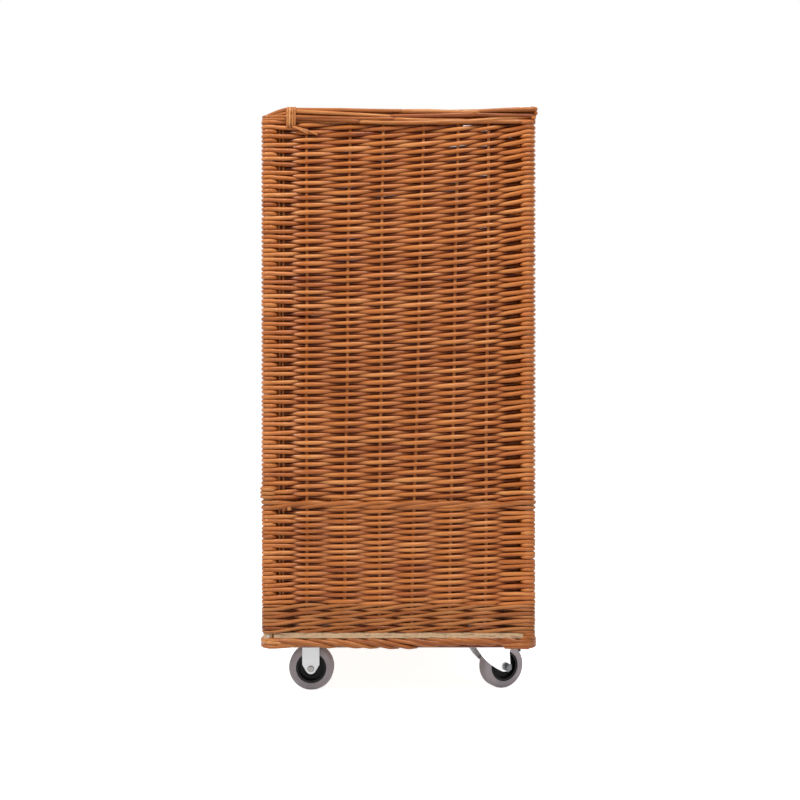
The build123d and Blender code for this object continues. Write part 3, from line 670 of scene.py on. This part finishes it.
def willow(name, dark, middle, light, painted_shade_share, tone_gain=0.11):
    """Buff willow: a tone for each rod, streaks along it, small knots, a satin skin and painted shade.

    The colour is painted darker near the line of the posts, as shade deep between the rods; the
    argument after the light tone is the share of the colour that is left there, and tone_gain is
    how far the rods differ in tone."""
    n = new_nodes(name)
    place = n.add("UVMap", uv_map="RodUV").outputs[0]
    tone, warmth = (
        n.add("Attribute", attribute_name=label).outputs["Fac"] for label in ("rod_tone", "rod_warmth")
    )
    streak = n.noise(place, (14, 420, 1), 4.0, 0.6)
    cloud = n.noise(place, (22, 60, 1), 2.0)
    factor = n.plus(0.5, tone, tone_gain)
    factor = n.plus(factor, n.math("SUBTRACT", streak, 0.5), 0.7)
    factor = n.plus(factor, n.math("SUBTRACT", cloud, 0.5), 0.8, clamp=True)
    colour = n.ramp(factor, [(0.0, dark), (0.5, middle), (1.0, light)])
    red = n.math("MULTIPLY", n.math("ADD", warmth, 0.4), 0.10, clamp=True)
    colour = n.mix(red, colour, red_rod)
    knots = n.add("TexVoronoi", {"Vector": n.scaled(place, 16, 40, 1), "Scale": 1.0})
    spot = n.math("LESS_THAN", knots.outputs["Distance"], 0.1)
    chance = n.add("SeparateColor", {0: knots.outputs["Color"]}).outputs[0]
    rare = n.math("GREATER_THAN", chance, 0.72)
    colour = n.mix(n.math("MULTIPLY", n.math("MULTIPLY", spot, rare), 0.75), colour, rod_knot)
    # Painted shade: the colour is mixed towards a dark red-brown where the surface lies near the line
    # of the posts, as shade between the rods
    place = n.add("SeparateXYZ", {0: n.object_place()}).outputs
    beyond = [
        n.math("SUBTRACT", n.math("ABSOLUTE", value), post)
        for value, post in ((place[0], post_x), (place[1], post_y))
    ]
    beyond = n.math("ABSOLUTE", n.math("MAXIMUM", *beyond))
    limits = {1: painted_shade_start, 2: painted_shade_end, 3: painted_shade_share, 4: 1.0}
    shade = n.add("MapRange", {0: beyond, **limits}).outputs[0]
    colour = n.mix(shade, painted_shade_colour, colour)
    return n.surface(
        colour, n.plus(0.22, cloud, 0.2), streak, 0.25 * MM, Specular_IOR_Level=0.20,
        Specular_Tint=(1.0, 0.82, 0.64, 1), Coat_Weight=0.18, Coat_Roughness=0.10,
    )


def peeled_wood(name):
    """A peeled pole, pale, with long streaks up it."""
    n = new_nodes(name)
    place = n.object_place()
    streak = n.noise(place, (260, 260, 14), 4.0, 0.6)
    cloud = n.noise(place, (40, 40, 12))
    factor = n.plus(n.math("MULTIPLY", streak, 0.6), cloud, 0.4)
    tones = [(0.25, (0.34, 0.20, 0.10)), (0.5, (0.56, 0.38, 0.21)), (0.75, (0.70, 0.52, 0.32))]
    return n.surface(n.ramp(factor, tones), n.plus(0.45, cloud, 0.2), streak, 0.3 * MM)


def plywood(name):
    """Birch plywood: grain along the faces, thin layers in the edges and a few dark marks."""
    n = new_nodes(name)
    place = n.object_place()
    grain = n.noise(place, (9, 150, 400), 5.0, 0.6)
    marks = n.noise(place, (30, 34, 420), 2.0)
    wave = {"Vector": n.scaled(place, 1, 1, 105), "Scale": 1.0, "Distortion": 0.0}
    layers = n.add("TexWave", wave, bands_direction="Z").outputs["Fac"]
    factor = n.plus(n.math("MULTIPLY", grain, 0.7), layers, 0.18)
    tones = [(0.2, (0.28, 0.16, 0.08)), (0.45, (0.53, 0.345, 0.195)), (0.8, (0.68, 0.48, 0.30))]
    colour = n.ramp(factor, tones)
    dark = n.math("MULTIPLY", n.math("SUBTRACT", marks, 0.585, clamp=True), 14.0, clamp=True)
    colour = n.mix(dark, colour, (0.16, 0.09, 0.05, 1))
    return n.surface(colour, n.plus(0.55, grain, 0.2), grain, 0.2 * MM)


def zinc(name, tint, rough):
    """Zinc plate: a soft cloudy sheen with fine drawn lines."""
    n = new_nodes(name)
    place = n.object_place()
    cloud = n.noise(place, (60, 60, 60), 2.0)
    lines = n.noise(place, (500, 500, 70), 3.0)
    colour = n.mix(cloud, tuple(0.86 * x for x in tint) + (1,), tuple(tint) + (1,))
    return n.surface(colour, n.plus(rough, lines, 0.18), lines, 0.02 * MM, Metallic=1.0)


def moulded(name, dark, light, rough, specular):
    """Moulded plastic or rubber: fine grain, scuffs and a slow change of tone."""
    n = new_nodes(name)
    place = n.object_place()
    cloud = n.noise(place, (45, 45, 45), 3.0)
    grain = n.noise(place, (900, 900, 900), 2.0)
    factor = n.plus(n.math("MULTIPLY", cloud, 0.7), grain, 0.3)
    colour = n.ramp(factor, [(0.3, dark), (0.7, light)])
    roughness = n.plus(rough, cloud, 0.18)
    return n.surface(colour, roughness, grain, 0.04 * MM, Specular_IOR_Level=specular)


# Dark, middle and light tones of the willow of each part
weave_tones = ((0.190, 0.033, 0.003), (0.460, 0.140, 0.028), (0.690, 0.300, 0.098))
border_tones = ((0.170, 0.031, 0.004), (0.370, 0.115, 0.025), (0.590, 0.250, 0.080))
# The upsett's tones are the border's made darker, as painted shade on the low wale
upsett_painted_shade_tones = ((0.145, 0.026, 0.003), (0.310, 0.096, 0.020), (0.480, 0.205, 0.066))
stake_tones = ((0.280, 0.074, 0.014), (0.560, 0.200, 0.052), (0.760, 0.350, 0.120))
tie_tones = ((0.220, 0.060, 0.012), (0.450, 0.165, 0.045), (0.680, 0.340, 0.130))
# The number after the tones is the share of each colour that the painted shade leaves deep between the
# rods
weave_willow = willow("willow_weave", *weave_tones, 0.10)
border_willow = willow("willow_border", *border_tones, 0.6, 0.18)
wale_willow = willow("willow_wale", *border_tones, 0.06)
upsett_willow = willow("willow_upsett", *upsett_painted_shade_tones, 0.05)
stake_willow = willow("willow_stake", *stake_tones, 0.8)
tie_willow = willow("willow_tie", *tie_tones, 0.6)

# The woven bands: the height where their rows stop, and how much higher the lowest and the highest
# row lie at the back
lower_stop = lower_top + 5 * MM
lower_lift = mm(12, 14)
upper_stop = upper_top + 8 * MM
upper_lift = mm(16, 36)
wall_names = {"right": right_wall, "left": left_wall, "back": back_wall, "front": front_wall}
lower_meshes = {wall: RodMesh() for wall in walls}
lower_corners = RodMesh()
lower_band = Band(
    upsett_top, lower_top, lower_stop, lower_pitch, *lower_lift, lower_turn_height, True,
)
lower_band.weave(lower_meshes, lower_corners, lower_corners)
upper_meshes = {wall: RodMesh() for wall in walls[:3]}
front_turns = RodMesh()
back_turns = RodMesh()
upper_band = Band(wale_top, upper_top, upper_stop, row_pitch, *upper_lift, turn_height, False)
upper_band.weave(upper_meshes, front_turns, back_turns)
for name, wall in wall_names.items():
    for band, meshes in (("lower", lower_meshes), ("upper", upper_meshes)):
        if wall in meshes:
            piece, node = f"willow_{band}_{name}", f"{band}_weave_{name}"
            meshes[wall].build(piece, weave_willow, "willow_weave", node)
for piece, mesh, nodes in (
    ("willow_lower_turns", lower_corners, ("lower_weave_right", "lower_weave_left")),
    ("willow_front_post_turns", front_turns, ("front_post_wraps",)),
    ("willow_back_post_turns", back_turns, ("back_post_wraps",)),
):
    mesh.build(piece, weave_willow, "willow_weave", *nodes)

# The wales, and two rod ends that poke out through the middle one: place, height and radius
upsett_rounds = 4
upsett_drop = 1 * MM
upsett_rise = 7.5 * MM
upsett_rod = 3.05 * MM
middle_rise = 6.5 * MM
middle_rod = 3.9 * MM
wale_ends = (mm(24.9, 309.1, 3.6), mm(33.5, 309.6, 4.0))
wale_end_in = -4 * MM
wale_end_out = 8.3 * MM

upsett = RodMesh()
upsett_pitch = (upsett_top - board_top + upsett_drop) / upsett_rounds
wale_ring(upsett, board_top - upsett_drop, upsett_rounds, upsett_pitch, upsett_rise, upsett_rod)
upsett.build("willow_upsett", upsett_willow, "willow_border", "upsett_wale")
middle = RodMesh()
wale_ring(middle, lower_top, 1, wale_top - lower_top, middle_rise, middle_rod)
for s, z, radius in wale_ends:
    middle.add(right_wall.at(s, np.linspace(wale_end_in, wale_end_out, 4), z), radius)
middle.build("willow_middle_wale", wale_willow, "willow_border", "middle_wale")

# The stakes
for name, wall in wall_names.items():
    stakes = RodMesh()
    top = (wale_top if wall is front_wall else upper_top) + stake_rise
    for low, high in zip(stake_places(wall, stake_foot), stake_places(wall, upper_top)):
        add_stake(stakes, wall, low, high, stake_foot, top, stake_radius)
    if wall in side_walls:
        top = upper_top + edge_stake_rise
        for y in edge_stakes:
            s = post_y + y if wall is right_wall else post_y - y
            add_stake(stakes, wall, s, s, stake_foot, top, edge_stake_radius)
    node = "side_stakes_" + name if wall in side_walls else name + "_stakes"
    stakes.build("willow_stakes_" + name, stake_willow, "willow_stake", node)


def sampled(at, along, rows):
    """Rows of three values, read at lengths along a path."""
    return np.stack([np.interp(at, along, rows[:, i]) for i in range(3)], -1)


def squared(values, power):
    """Sines or cosines with a power, which turns a round path into a squarer one."""
    return np.sign(values) * np.abs(values) ** power


def ring_path(half_x, half_y, corner, step):
    """A closed rounded rectangle from its right front corner: points, outward ways and lengths."""
    points = []
    directions = []
    for sign_x, sign_y, start in ((1, -1, 270), (1, 1, 0), (-1, 1, 90), (-1, -1, 180)):
        for turn in np.radians(np.linspace(start, start + 90, 9)):
            direction = np.array([math.cos(turn), math.sin(turn), 0])
            centre = np.array([sign_x * (half_x - corner), sign_y * (half_y - corner), 0])
            points.append(centre + corner * direction)
            directions.append(direction)
    points = np.array(points + points[:1])
    directions = np.array(directions + directions[:1])
    lengths = np.concatenate([[0], np.cumsum(np.linalg.norm(np.diff(points, axis=0), axis=1))])
    along = np.linspace(0, lengths[-1], int(lengths[-1] / step))
    return sampled(along, lengths, points), unit(sampled(along, lengths, directions)), along


# The foot border: each rod comes out under the board, slants down past the next ones and tucks in.
# The stroke arrays say how far out and how far down a rod is at a share of its length, and the rise
# arrays how much its lower edge is lifted along the cart.
foot_rod = 3.7 * MM
foot_stroke = 92 * MM
foot_spacing = 31 * MM
foot_stray = 3 * MM
foot_reach = 7.9 * MM
foot_corner_bulge = 4.2 * MM
foot_corner_reach = 34 * MM
foot_top_gap = 1.6 * MM
foot_core_gap = 0.8 * MM
foot_core_shade_tone = -3.0
foot_corner = 9 * MM
foot_step = 3 * MM
foot_back_rise = 2 * MM
foot_loop_levels = mm(1.5, 6.5)
corner_rod_half = 42 * MM
corner_rod_reach = 11.3 * MM
corner_rod_levels = (0.08, 0.5, 0.95)
corner_rod_tilt = 1.2 * MM
stroke_share = np.array([0.0, 0.10, 0.30, 0.60, 0.85, 1.0])
stroke_out = np.array([0.0, 0.75, 1.0, 1.0, 0.75, 0.1])
stroke_down = np.array([0.02, 0.05, 0.25, 0.62, 0.97, 1.0])
foot_rise_places = np.array([-215, -185, -60, 0, 45, 75, 166, 190]) * MM
foot_rise = np.array([1.0, 2.2, 2.2, 0.0, 0.8, 4.6, 4.6, 0.0]) * MM

foot = RodMesh()
places, outward, along = ring_path(post_x, post_y, foot_corner, foot_step)
around = along[-1]
foot_count = int(around / foot_spacing)
foot_upper = board_low - foot_rod
foot_lower = foot_low + foot_rod
for i in range(foot_count):
    share = np.linspace(0, 1, 22)
    begin = around * i / foot_count + rng.normal(0, foot_stray)
    at = (begin + foot_stroke * rng.uniform(0.94, 1.08) * share) % around
    spot = sampled(at, along, places)
    out = unit(sampled(at, along, outward))
    x, y = spot[:, 0], spot[:, 1]
    away = np.hypot(np.abs(x) - post_x, np.abs(y) - post_y)
    reach = foot_reach + foot_corner_bulge * np.clip(1 - away / foot_corner_reach, 0, 1)
    top = foot_upper + foot_top_gap + np.interp(y, (0, post_y), (0, foot_back_rise))
    bottom = foot_lower - rng.uniform(-0.6, 2.6) * MM
    bottom = bottom + np.interp(y, foot_rise_places, foot_rise)
    z = top + (bottom - top) * np.interp(share, stroke_share, stroke_down)
    wide = reach * np.interp(share, stroke_share, stroke_out)
    for side in (1, -1):
        path = spot + side * wide[:, None] * out
        path[:, 2] = z
        thick = foot_rod * stray()
        foot.add(path, thick * np.interp(share, (0, 0.2, 0.8, 1), (0.8, 1, 1, 0.75)))
for corner in [wall.first_post for wall in walls]:
    nearest = along[np.argmin(np.hypot(*(places - corner).T[:2]))]
    for level in corner_rod_levels:
        reach = np.linspace(-1, 1, 21)
        at = (nearest + corner_rod_half * (reach + rng.uniform(-0.15, 0.15))) % around
        out = unit(sampled(at, along, outward))
        path = sampled(at, along, places)
        path = path + (corner_rod_reach * (1 - 0.55 * reach ** 2))[:, None] * out
        path[:, 2] = foot_upper + level * (foot_lower - foot_upper) + corner_rod_tilt * reach
        foot.add(path, foot_rod * rng.normal(0.95, rod_spread))
# Two core rods inside the border, in the darkest tone, as painted shade in the gaps between the
# strokes
for z in (foot_lower + foot_core_gap, foot_upper - foot_core_gap):
    core = places[::4].copy()
    core[:, 2] = z
    foot.add(core, foot_rod, tone=foot_core_shade_tone)
for before, wall in ((right_wall, back_wall), (back_wall, left_wall)):
    for level in foot_loop_levels:
        towards, across = corner_axes(before, wall)
        post_loop(foot, wall.first_post, towards, across, board_low + level, corner_loop)
foot.build("willow_foot_border", border_willow, "willow_border", "foot_border")

# The front border, a rope along the low wall, and its turns round the front posts
border_rod = 3.3 * MM
front_strands = 8
front_lay = 520 * MM
front_end_gap = 2 * MM
front_half_wide = 8.4 * MM
front_half_high = 6.6 * MM
front_squareness = 0.8
front_turn_reach = 11.7 * MM
front_turn_levels = mm(-6.4, 0, 6.4)
front_turn_rise = 0.8 * MM
front_turn_rod = 3.1 * MM

front = RodMesh()
front_middle = (wale_top + front_border_top) / 2
s = np.linspace(front_end_gap, 2 * post_x - front_end_gap, 84)
for strand in range(front_strands):
    angle = 2 * math.pi * (strand / front_strands + s / front_lay)
    wide = front_half_wide * squared(np.cos(angle), front_squareness)
    z = front_middle + front_half_high * squared(np.sin(angle), front_squareness)
    front.add(front_wall.at(s, wide, z), border_rod * stray())
for side in (-1, 1):
    for level in front_turn_levels:
        turn = np.linspace(-0.2, 1.25, 14) * math.pi
        x = side * (post_x - front_turn_reach * np.cos(turn))
        y = -post_y - front_turn_reach * np.sin(turn)
        z = front_middle + level + front_turn_rise * np.sin(turn)
        front.add(np.stack([x, y, z], -1), front_turn_rod)
front.build("willow_front_border", border_willow, "willow_border", "front_border")

# The top borders: rods lying side by side in layers, each slanting slowly across the bundle.
# border_lay turns the bundle from end to end, border_drift moves single rods across it, and a rod
# that ends on the way tucks in over border_tuck and overlaps the next one.
border_height = border_top - upper_top
border_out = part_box("top_border_back")[1].y - post_y
border_layers = (-1.0, 0.0, 1.0)
border_low_layer = -1.55
border_half_high = 7.0 * MM
border_half_wide = 7.6 * MM
border_reach = 8.0 * MM
border_lay = 0.38
border_drift = 3.4 * MM
border_taper = 0.3
border_tuck = 22 * MM
border_overlap = 34 * MM
border_cuts = ((0.22, 0.45), (0.55, 0.8))
border_wave = 0.55 * MM
border_inset = 14 * MM

# Each border's start, how far it goes past its wall's length, its sag and its shift outwards
border_spans = {
    "right": mm(27, 10, 4.2, 0),
    "left": mm(-10, -27, 4.2, 0),
    "back": mm(-8, 8, 2, 3.4),
}

# Rods that slope down over the front ends: way out, radius and drop below the top
nose_rods = (mm(4.4, 3.7, 0.0), mm(-4.4, 3.5, 0.0), mm(4.0, 3.3, 6.4), mm(-4.0, 3.3, 6.4))
nose_start = -4 * MM
nose_length = 42 * MM
nose_fall = 13.5 * MM

# Loops round the front posts under the noses, and rods beside them: level and radius
end_loops = (mm(0.8, 2.6), mm(5.2, 2.3))
beside_start = 4 * MM
beside_end = 44 * MM
beside_out = 7.4 * MM
beside_rise = 0.5 * MM

# Rod ends that show at the back corners: way out, drop below the top and radius
corner_ends = (mm(5.2, 0.2, 3.4), mm(11.1, 1.2, 3.5), mm(11.9, 8.4, 2.8))
corner_end_past = 9.5 * MM
corner_end_length = 60 * MM
corner_end_lean = 3 * MM


def border_bundle(mesh, wall, s_start, s_end, sag, shift):
    """Rods along the top of a wall, in layers of three, that cross to the next place as they go."""
    for high in (*border_layers, border_low_layer):
        for wide in border_layers:
            first = s_start + rng.uniform(0, 5) * MM * (high > -1 or wide < 1)
            last = s_end - rng.uniform(0, 1.5) * MM
            if shift:
                inset = 0.0 if wide == 1 else border_inset
                first, last = s_start + inset, s_end - inset
            cuts = [first + (last - first) * rng.uniform(*limits) for limits in border_cuts]
            starts = [first, *cuts]
            for a, b in zip(starts, [*cuts, last]):
                s = np.linspace(a, b + border_overlap if b < last else b, 40)
                along = (s - s[0]) / (s[-1] - s[0])
                way = 1 if (high + wide + starts.index(a)) % 2 < 1 else -1
                drift = border_drift * rng.uniform(0.3, 1) * way * (2 * along - 1)
                tuck = np.clip((s - a) / border_tuck, 0, 1) if a > first else 1.0
                if b < last:
                    tuck = tuck * np.clip((s[-1] - s) / border_tuck, 0, 1)
                thick = border_rod * rng.normal(1.04, rod_spread) * (0.6 + 0.4 * tuck)
                thick = thick * (1 + border_taper * rng.choice((-1, 1)) * (along - 0.5))
                share = (s - s_start) / (s_end - s_start)
                wave = border_wave * np.sin(2 * math.pi * (1.6 * share + rng.random()))
                lowering = sag * np.sin(math.pi * np.clip(share, 0, 1)) ** 1.5
                lay = border_lay * (2 * share - 1) + (0.05 if a == first else -0.05)
                across = high * np.cos(lay) - 0.9 * wide * np.sin(lay)
                z = upper_top + border_height / 2 + border_half_high * across
                z = np.minimum(z + drift + wave, border_top - 1.02 * thick) - lowering
                d = border_half_wide * (wide * np.cos(lay) + 0.9 * high * np.sin(lay))
                d = shift + np.clip(d, -border_reach, border_reach) * (0.35 + 0.65 * tuck)
                d = np.minimum(d, border_out - thick)
                mesh.add(wall.at(s, d, z), thick)


def front_end(mesh, wall):
    """The rods that close the front end of a side border."""
    for d, thick, drop in nose_rods:
        share = np.linspace(0, 1, 12)
        s = from_front(wall, nose_start + nose_length * share)
        z = border_top - thick - drop - (nose_fall - drop) * (1 - share) ** 1.6
        mesh.add(wall.at(s, d, z), thick)
    centre = wall.at(from_front(wall, 0.0), 0, 0)
    towards = wall.along if wall is right_wall else -wall.along
    for level, thick in end_loops:
        post_loop(mesh, centre, towards, wall.outward, upper_top + level, open_loop, thick)
        s = from_front(wall, np.linspace(beside_start, beside_end, 8))
        mesh.add(wall.at(s, beside_out, upper_top + level + beside_rise), thick)


def back_corners(mesh, wall):
    """The rod ends that show at the back corners."""
    share = np.linspace(0, 1, 8)
    for d, drop, thick in corner_ends:
        for end, inward in ((-corner_end_past, 1), (wall.length + corner_end_past, -1)):
            s = end + inward * corner_end_length * share
            mesh.add(wall.at(s, d - corner_end_lean * share, border_top - thick - drop), thick)


for name, (start, past, sag, shift) in border_spans.items():
    wall = wall_names[name]
    rim = RodMesh()
    border_bundle(rim, wall, start, wall.length + past, sag, shift)
    if wall is back_wall:
        back_corners(rim, wall)
    else:
        front_end(rim, wall)
    rim.build("willow_top_border_" + name, border_willow, "willow_border", "top_border_" + name)

# The ties round the front ends of the side borders, two loops of two strands, and their cut ends:
# start and end along the wall, start and end heights, and radius
tie_radius = 1.95 * MM
tie_places = mm(31.3, 34.8, 39.7, 43.2)
tie_half_wide = 10.8 * MM
tie_squareness = 0.5
tie_wander = 0.5 * MM
tie_end_out = 9.4 * MM
tie_ends = (
    (40 * MM, 64 * MM, tie_low + 1 * MM, tie_low - 9 * MM, 1.9 * MM),
    (44 * MM, 79 * MM, tie_low + 1 * MM, tie_low - 11 * MM, 1.5 * MM),
)

ties = RodMesh()
half_high = (tie_top - tie_low) / 2 - tie_radius
for wall in side_walls:
    for place in tie_places:
        angle = np.linspace(0.3, 2 * math.pi + 0.9, 44)
        d = tie_half_wide * squared(np.cos(angle), tie_squareness)
        z = (tie_top + tie_low) / 2 + half_high * squared(np.sin(angle), tie_squareness)
        s = from_front(wall, place + tie_wander * np.sin(angle * 2))
        ties.add(wall.at(s, d, z), tie_radius, across=wall.along)
for wall in side_walls:
    for start, end, z_start, z_end, thick in tie_ends:
        share = np.linspace(0, 1, 8)
        s = from_front(wall, start + (end - start) * share)
        z = z_start + (z_end - z_start) * share ** 1.2
        ties.add(wall.at(s, tie_end_out, z), thick)
ties.build("willow_border_ties", tie_willow, "willow_tie", "border_ties")

# Finishes of the pieces that keep their CAD shape, by material slot, and those of a few nodes
finishes = {"peeled_post": peeled_wood("peeled_post"), "plywood": plywood("plywood")}
for name, tint, rough in (
    ("zinc_sheet", (0.47, 0.475, 0.485), 0.34),
    ("zinc_fastener", (0.27, 0.262, 0.25), 0.28),
    ("bearing_steel", (0.45, 0.45, 0.46), 0.2),
    ("nail_steel", (0.40, 0.38, 0.36), 0.35),
    ("zinc_fork", (0.86, 0.87, 0.88), 0.3),
    ("zinc_nut", (0.13, 0.135, 0.14), 0.2),
):
    finishes[name] = zinc(name, tint, rough)
for name, dark, light, rough, specular in (
    ("black_pin", (0.012, 0.012, 0.013), (0.03, 0.03, 0.032), 0.3, 0.4),
    ("black_rubber", (0.010, 0.010, 0.010), (0.028, 0.028, 0.028), 0.6, 0.4),
    ("black_plastic", (0.003, 0.003, 0.004), (0.010, 0.010, 0.011), 0.42, 0.18),
    ("grey_rubber", (0.395, 0.355, 0.376), (0.520, 0.470, 0.500), 0.55, 0.4),
):
    finishes[name] = moulded(name, dark, light, rough, specular)
special_finishes = {"swivel_fork": "zinc_fork", "axle_nut": "zinc_nut", "axle_bolt": "zinc_nut"}
for subpart in frame["record"]["subparts"]:
    name = subpart["node"]
    mesh = frame["nodes"][name].data
    if not frame["nodes"][name].hide_render:
        special = [special_finishes[key] for key in special_finishes if name.startswith(key)]
        mesh.materials.clear()
        mesh.materials.append(finishes[(special + [subpart["material_slot"]])[0]])


def backdrop_material(name, colour, glow):
    """A pale surface, near white to the camera and mirrors, that keeps the object's shadow."""
    n = new_nodes(name)
    n.surface(colour, 0.9)
    strength = n.math("MULTIPLY", n.seen(), glow)
    light = n.add("Emission", {"Color": (1, 1, 1, 1), "Strength": strength})
    total = n.add("AddShader", {0: n.shader.outputs[0], 1: light.outputs[0]})
    n.put(n.tree.nodes["Material Output"], "Surface", total.outputs[0])
    return n.owner


# The floor
floor_half = 30.0
floor_colour = (0.8, 0.8, 0.8, 1)
floor_glow = 0.89
floor_mesh = bpy.data.meshes.new("floor")
corners = [(x * floor_half, y * floor_half, 0) for x, y in ((-1, -1), (1, -1), (1, 1), (-1, 1))]
floor_mesh.from_pydata(corners, [], [(0, 1, 2, 3)])
floor_mesh.materials.append(backdrop_material("pale_floor", floor_colour, floor_glow))
floor = new_object("floor", floor_mesh)

# The world is white where it is seen, and gives a little light
world_light = 0.08
world = bpy.data.worlds.new("studio")
bpy.context.scene.world = world
sky = Nodes(world, "Background")
sky.put(sky.shader, "Color", (1, 1, 1, 1))
strength = sky.add("MapRange", {0: sky.seen(), 3: world_light, 4: 1.0})
sky.put(sky.shader, "Strength", strength.outputs[0])


def softbox(name, place, aim, size, power):
    """A square area light turned towards a point."""
    data = bpy.data.lights.new(name, "AREA")
    data.shape = "SQUARE"
    data.size = size
    data.energy = power
    lamp = new_object(name, data)
    lamp.location = place
    direction = np.array(aim, float) - np.array(place, float)
    lamp.rotation_euler = Vector(direction).to_track_quat("-Z", "Y").to_euler()


# Lamps: place, aim, size and power
softbox("key", (2.0, -1.8, 2.7), (0, 0, 0.75), 0.8, 86)
softbox("side", (1.1, 2.7, 1.5), (0, 0, 0.5), 0.9, 14)
softbox("rear", (-2.2, 1.2, 2.2), (0, 0, 0.5), 1.6, 50)
softbox("top", (1.5, 0.3, 2.8), (0, 0, 0.6), 0.8, 38)

# The camera of the photograph
camera_distance = 2.1
camera_height = 0.485
camera_side = 2.4 * MM
camera_lens = 50.2
camera_sensor = 36.0
camera_data = bpy.data.cameras.new("camera")
camera_data.lens = camera_lens
camera_data.sensor_width = camera_sensor
camera = new_object("camera", camera_data)
camera.location = (camera_distance, camera_side, camera_height)
camera.rotation_euler = (math.pi / 2, 0, math.pi / 2)
bpy.context.scene.camera = camera
bpy.context.scene.view_settings.view_transform = "Standard"
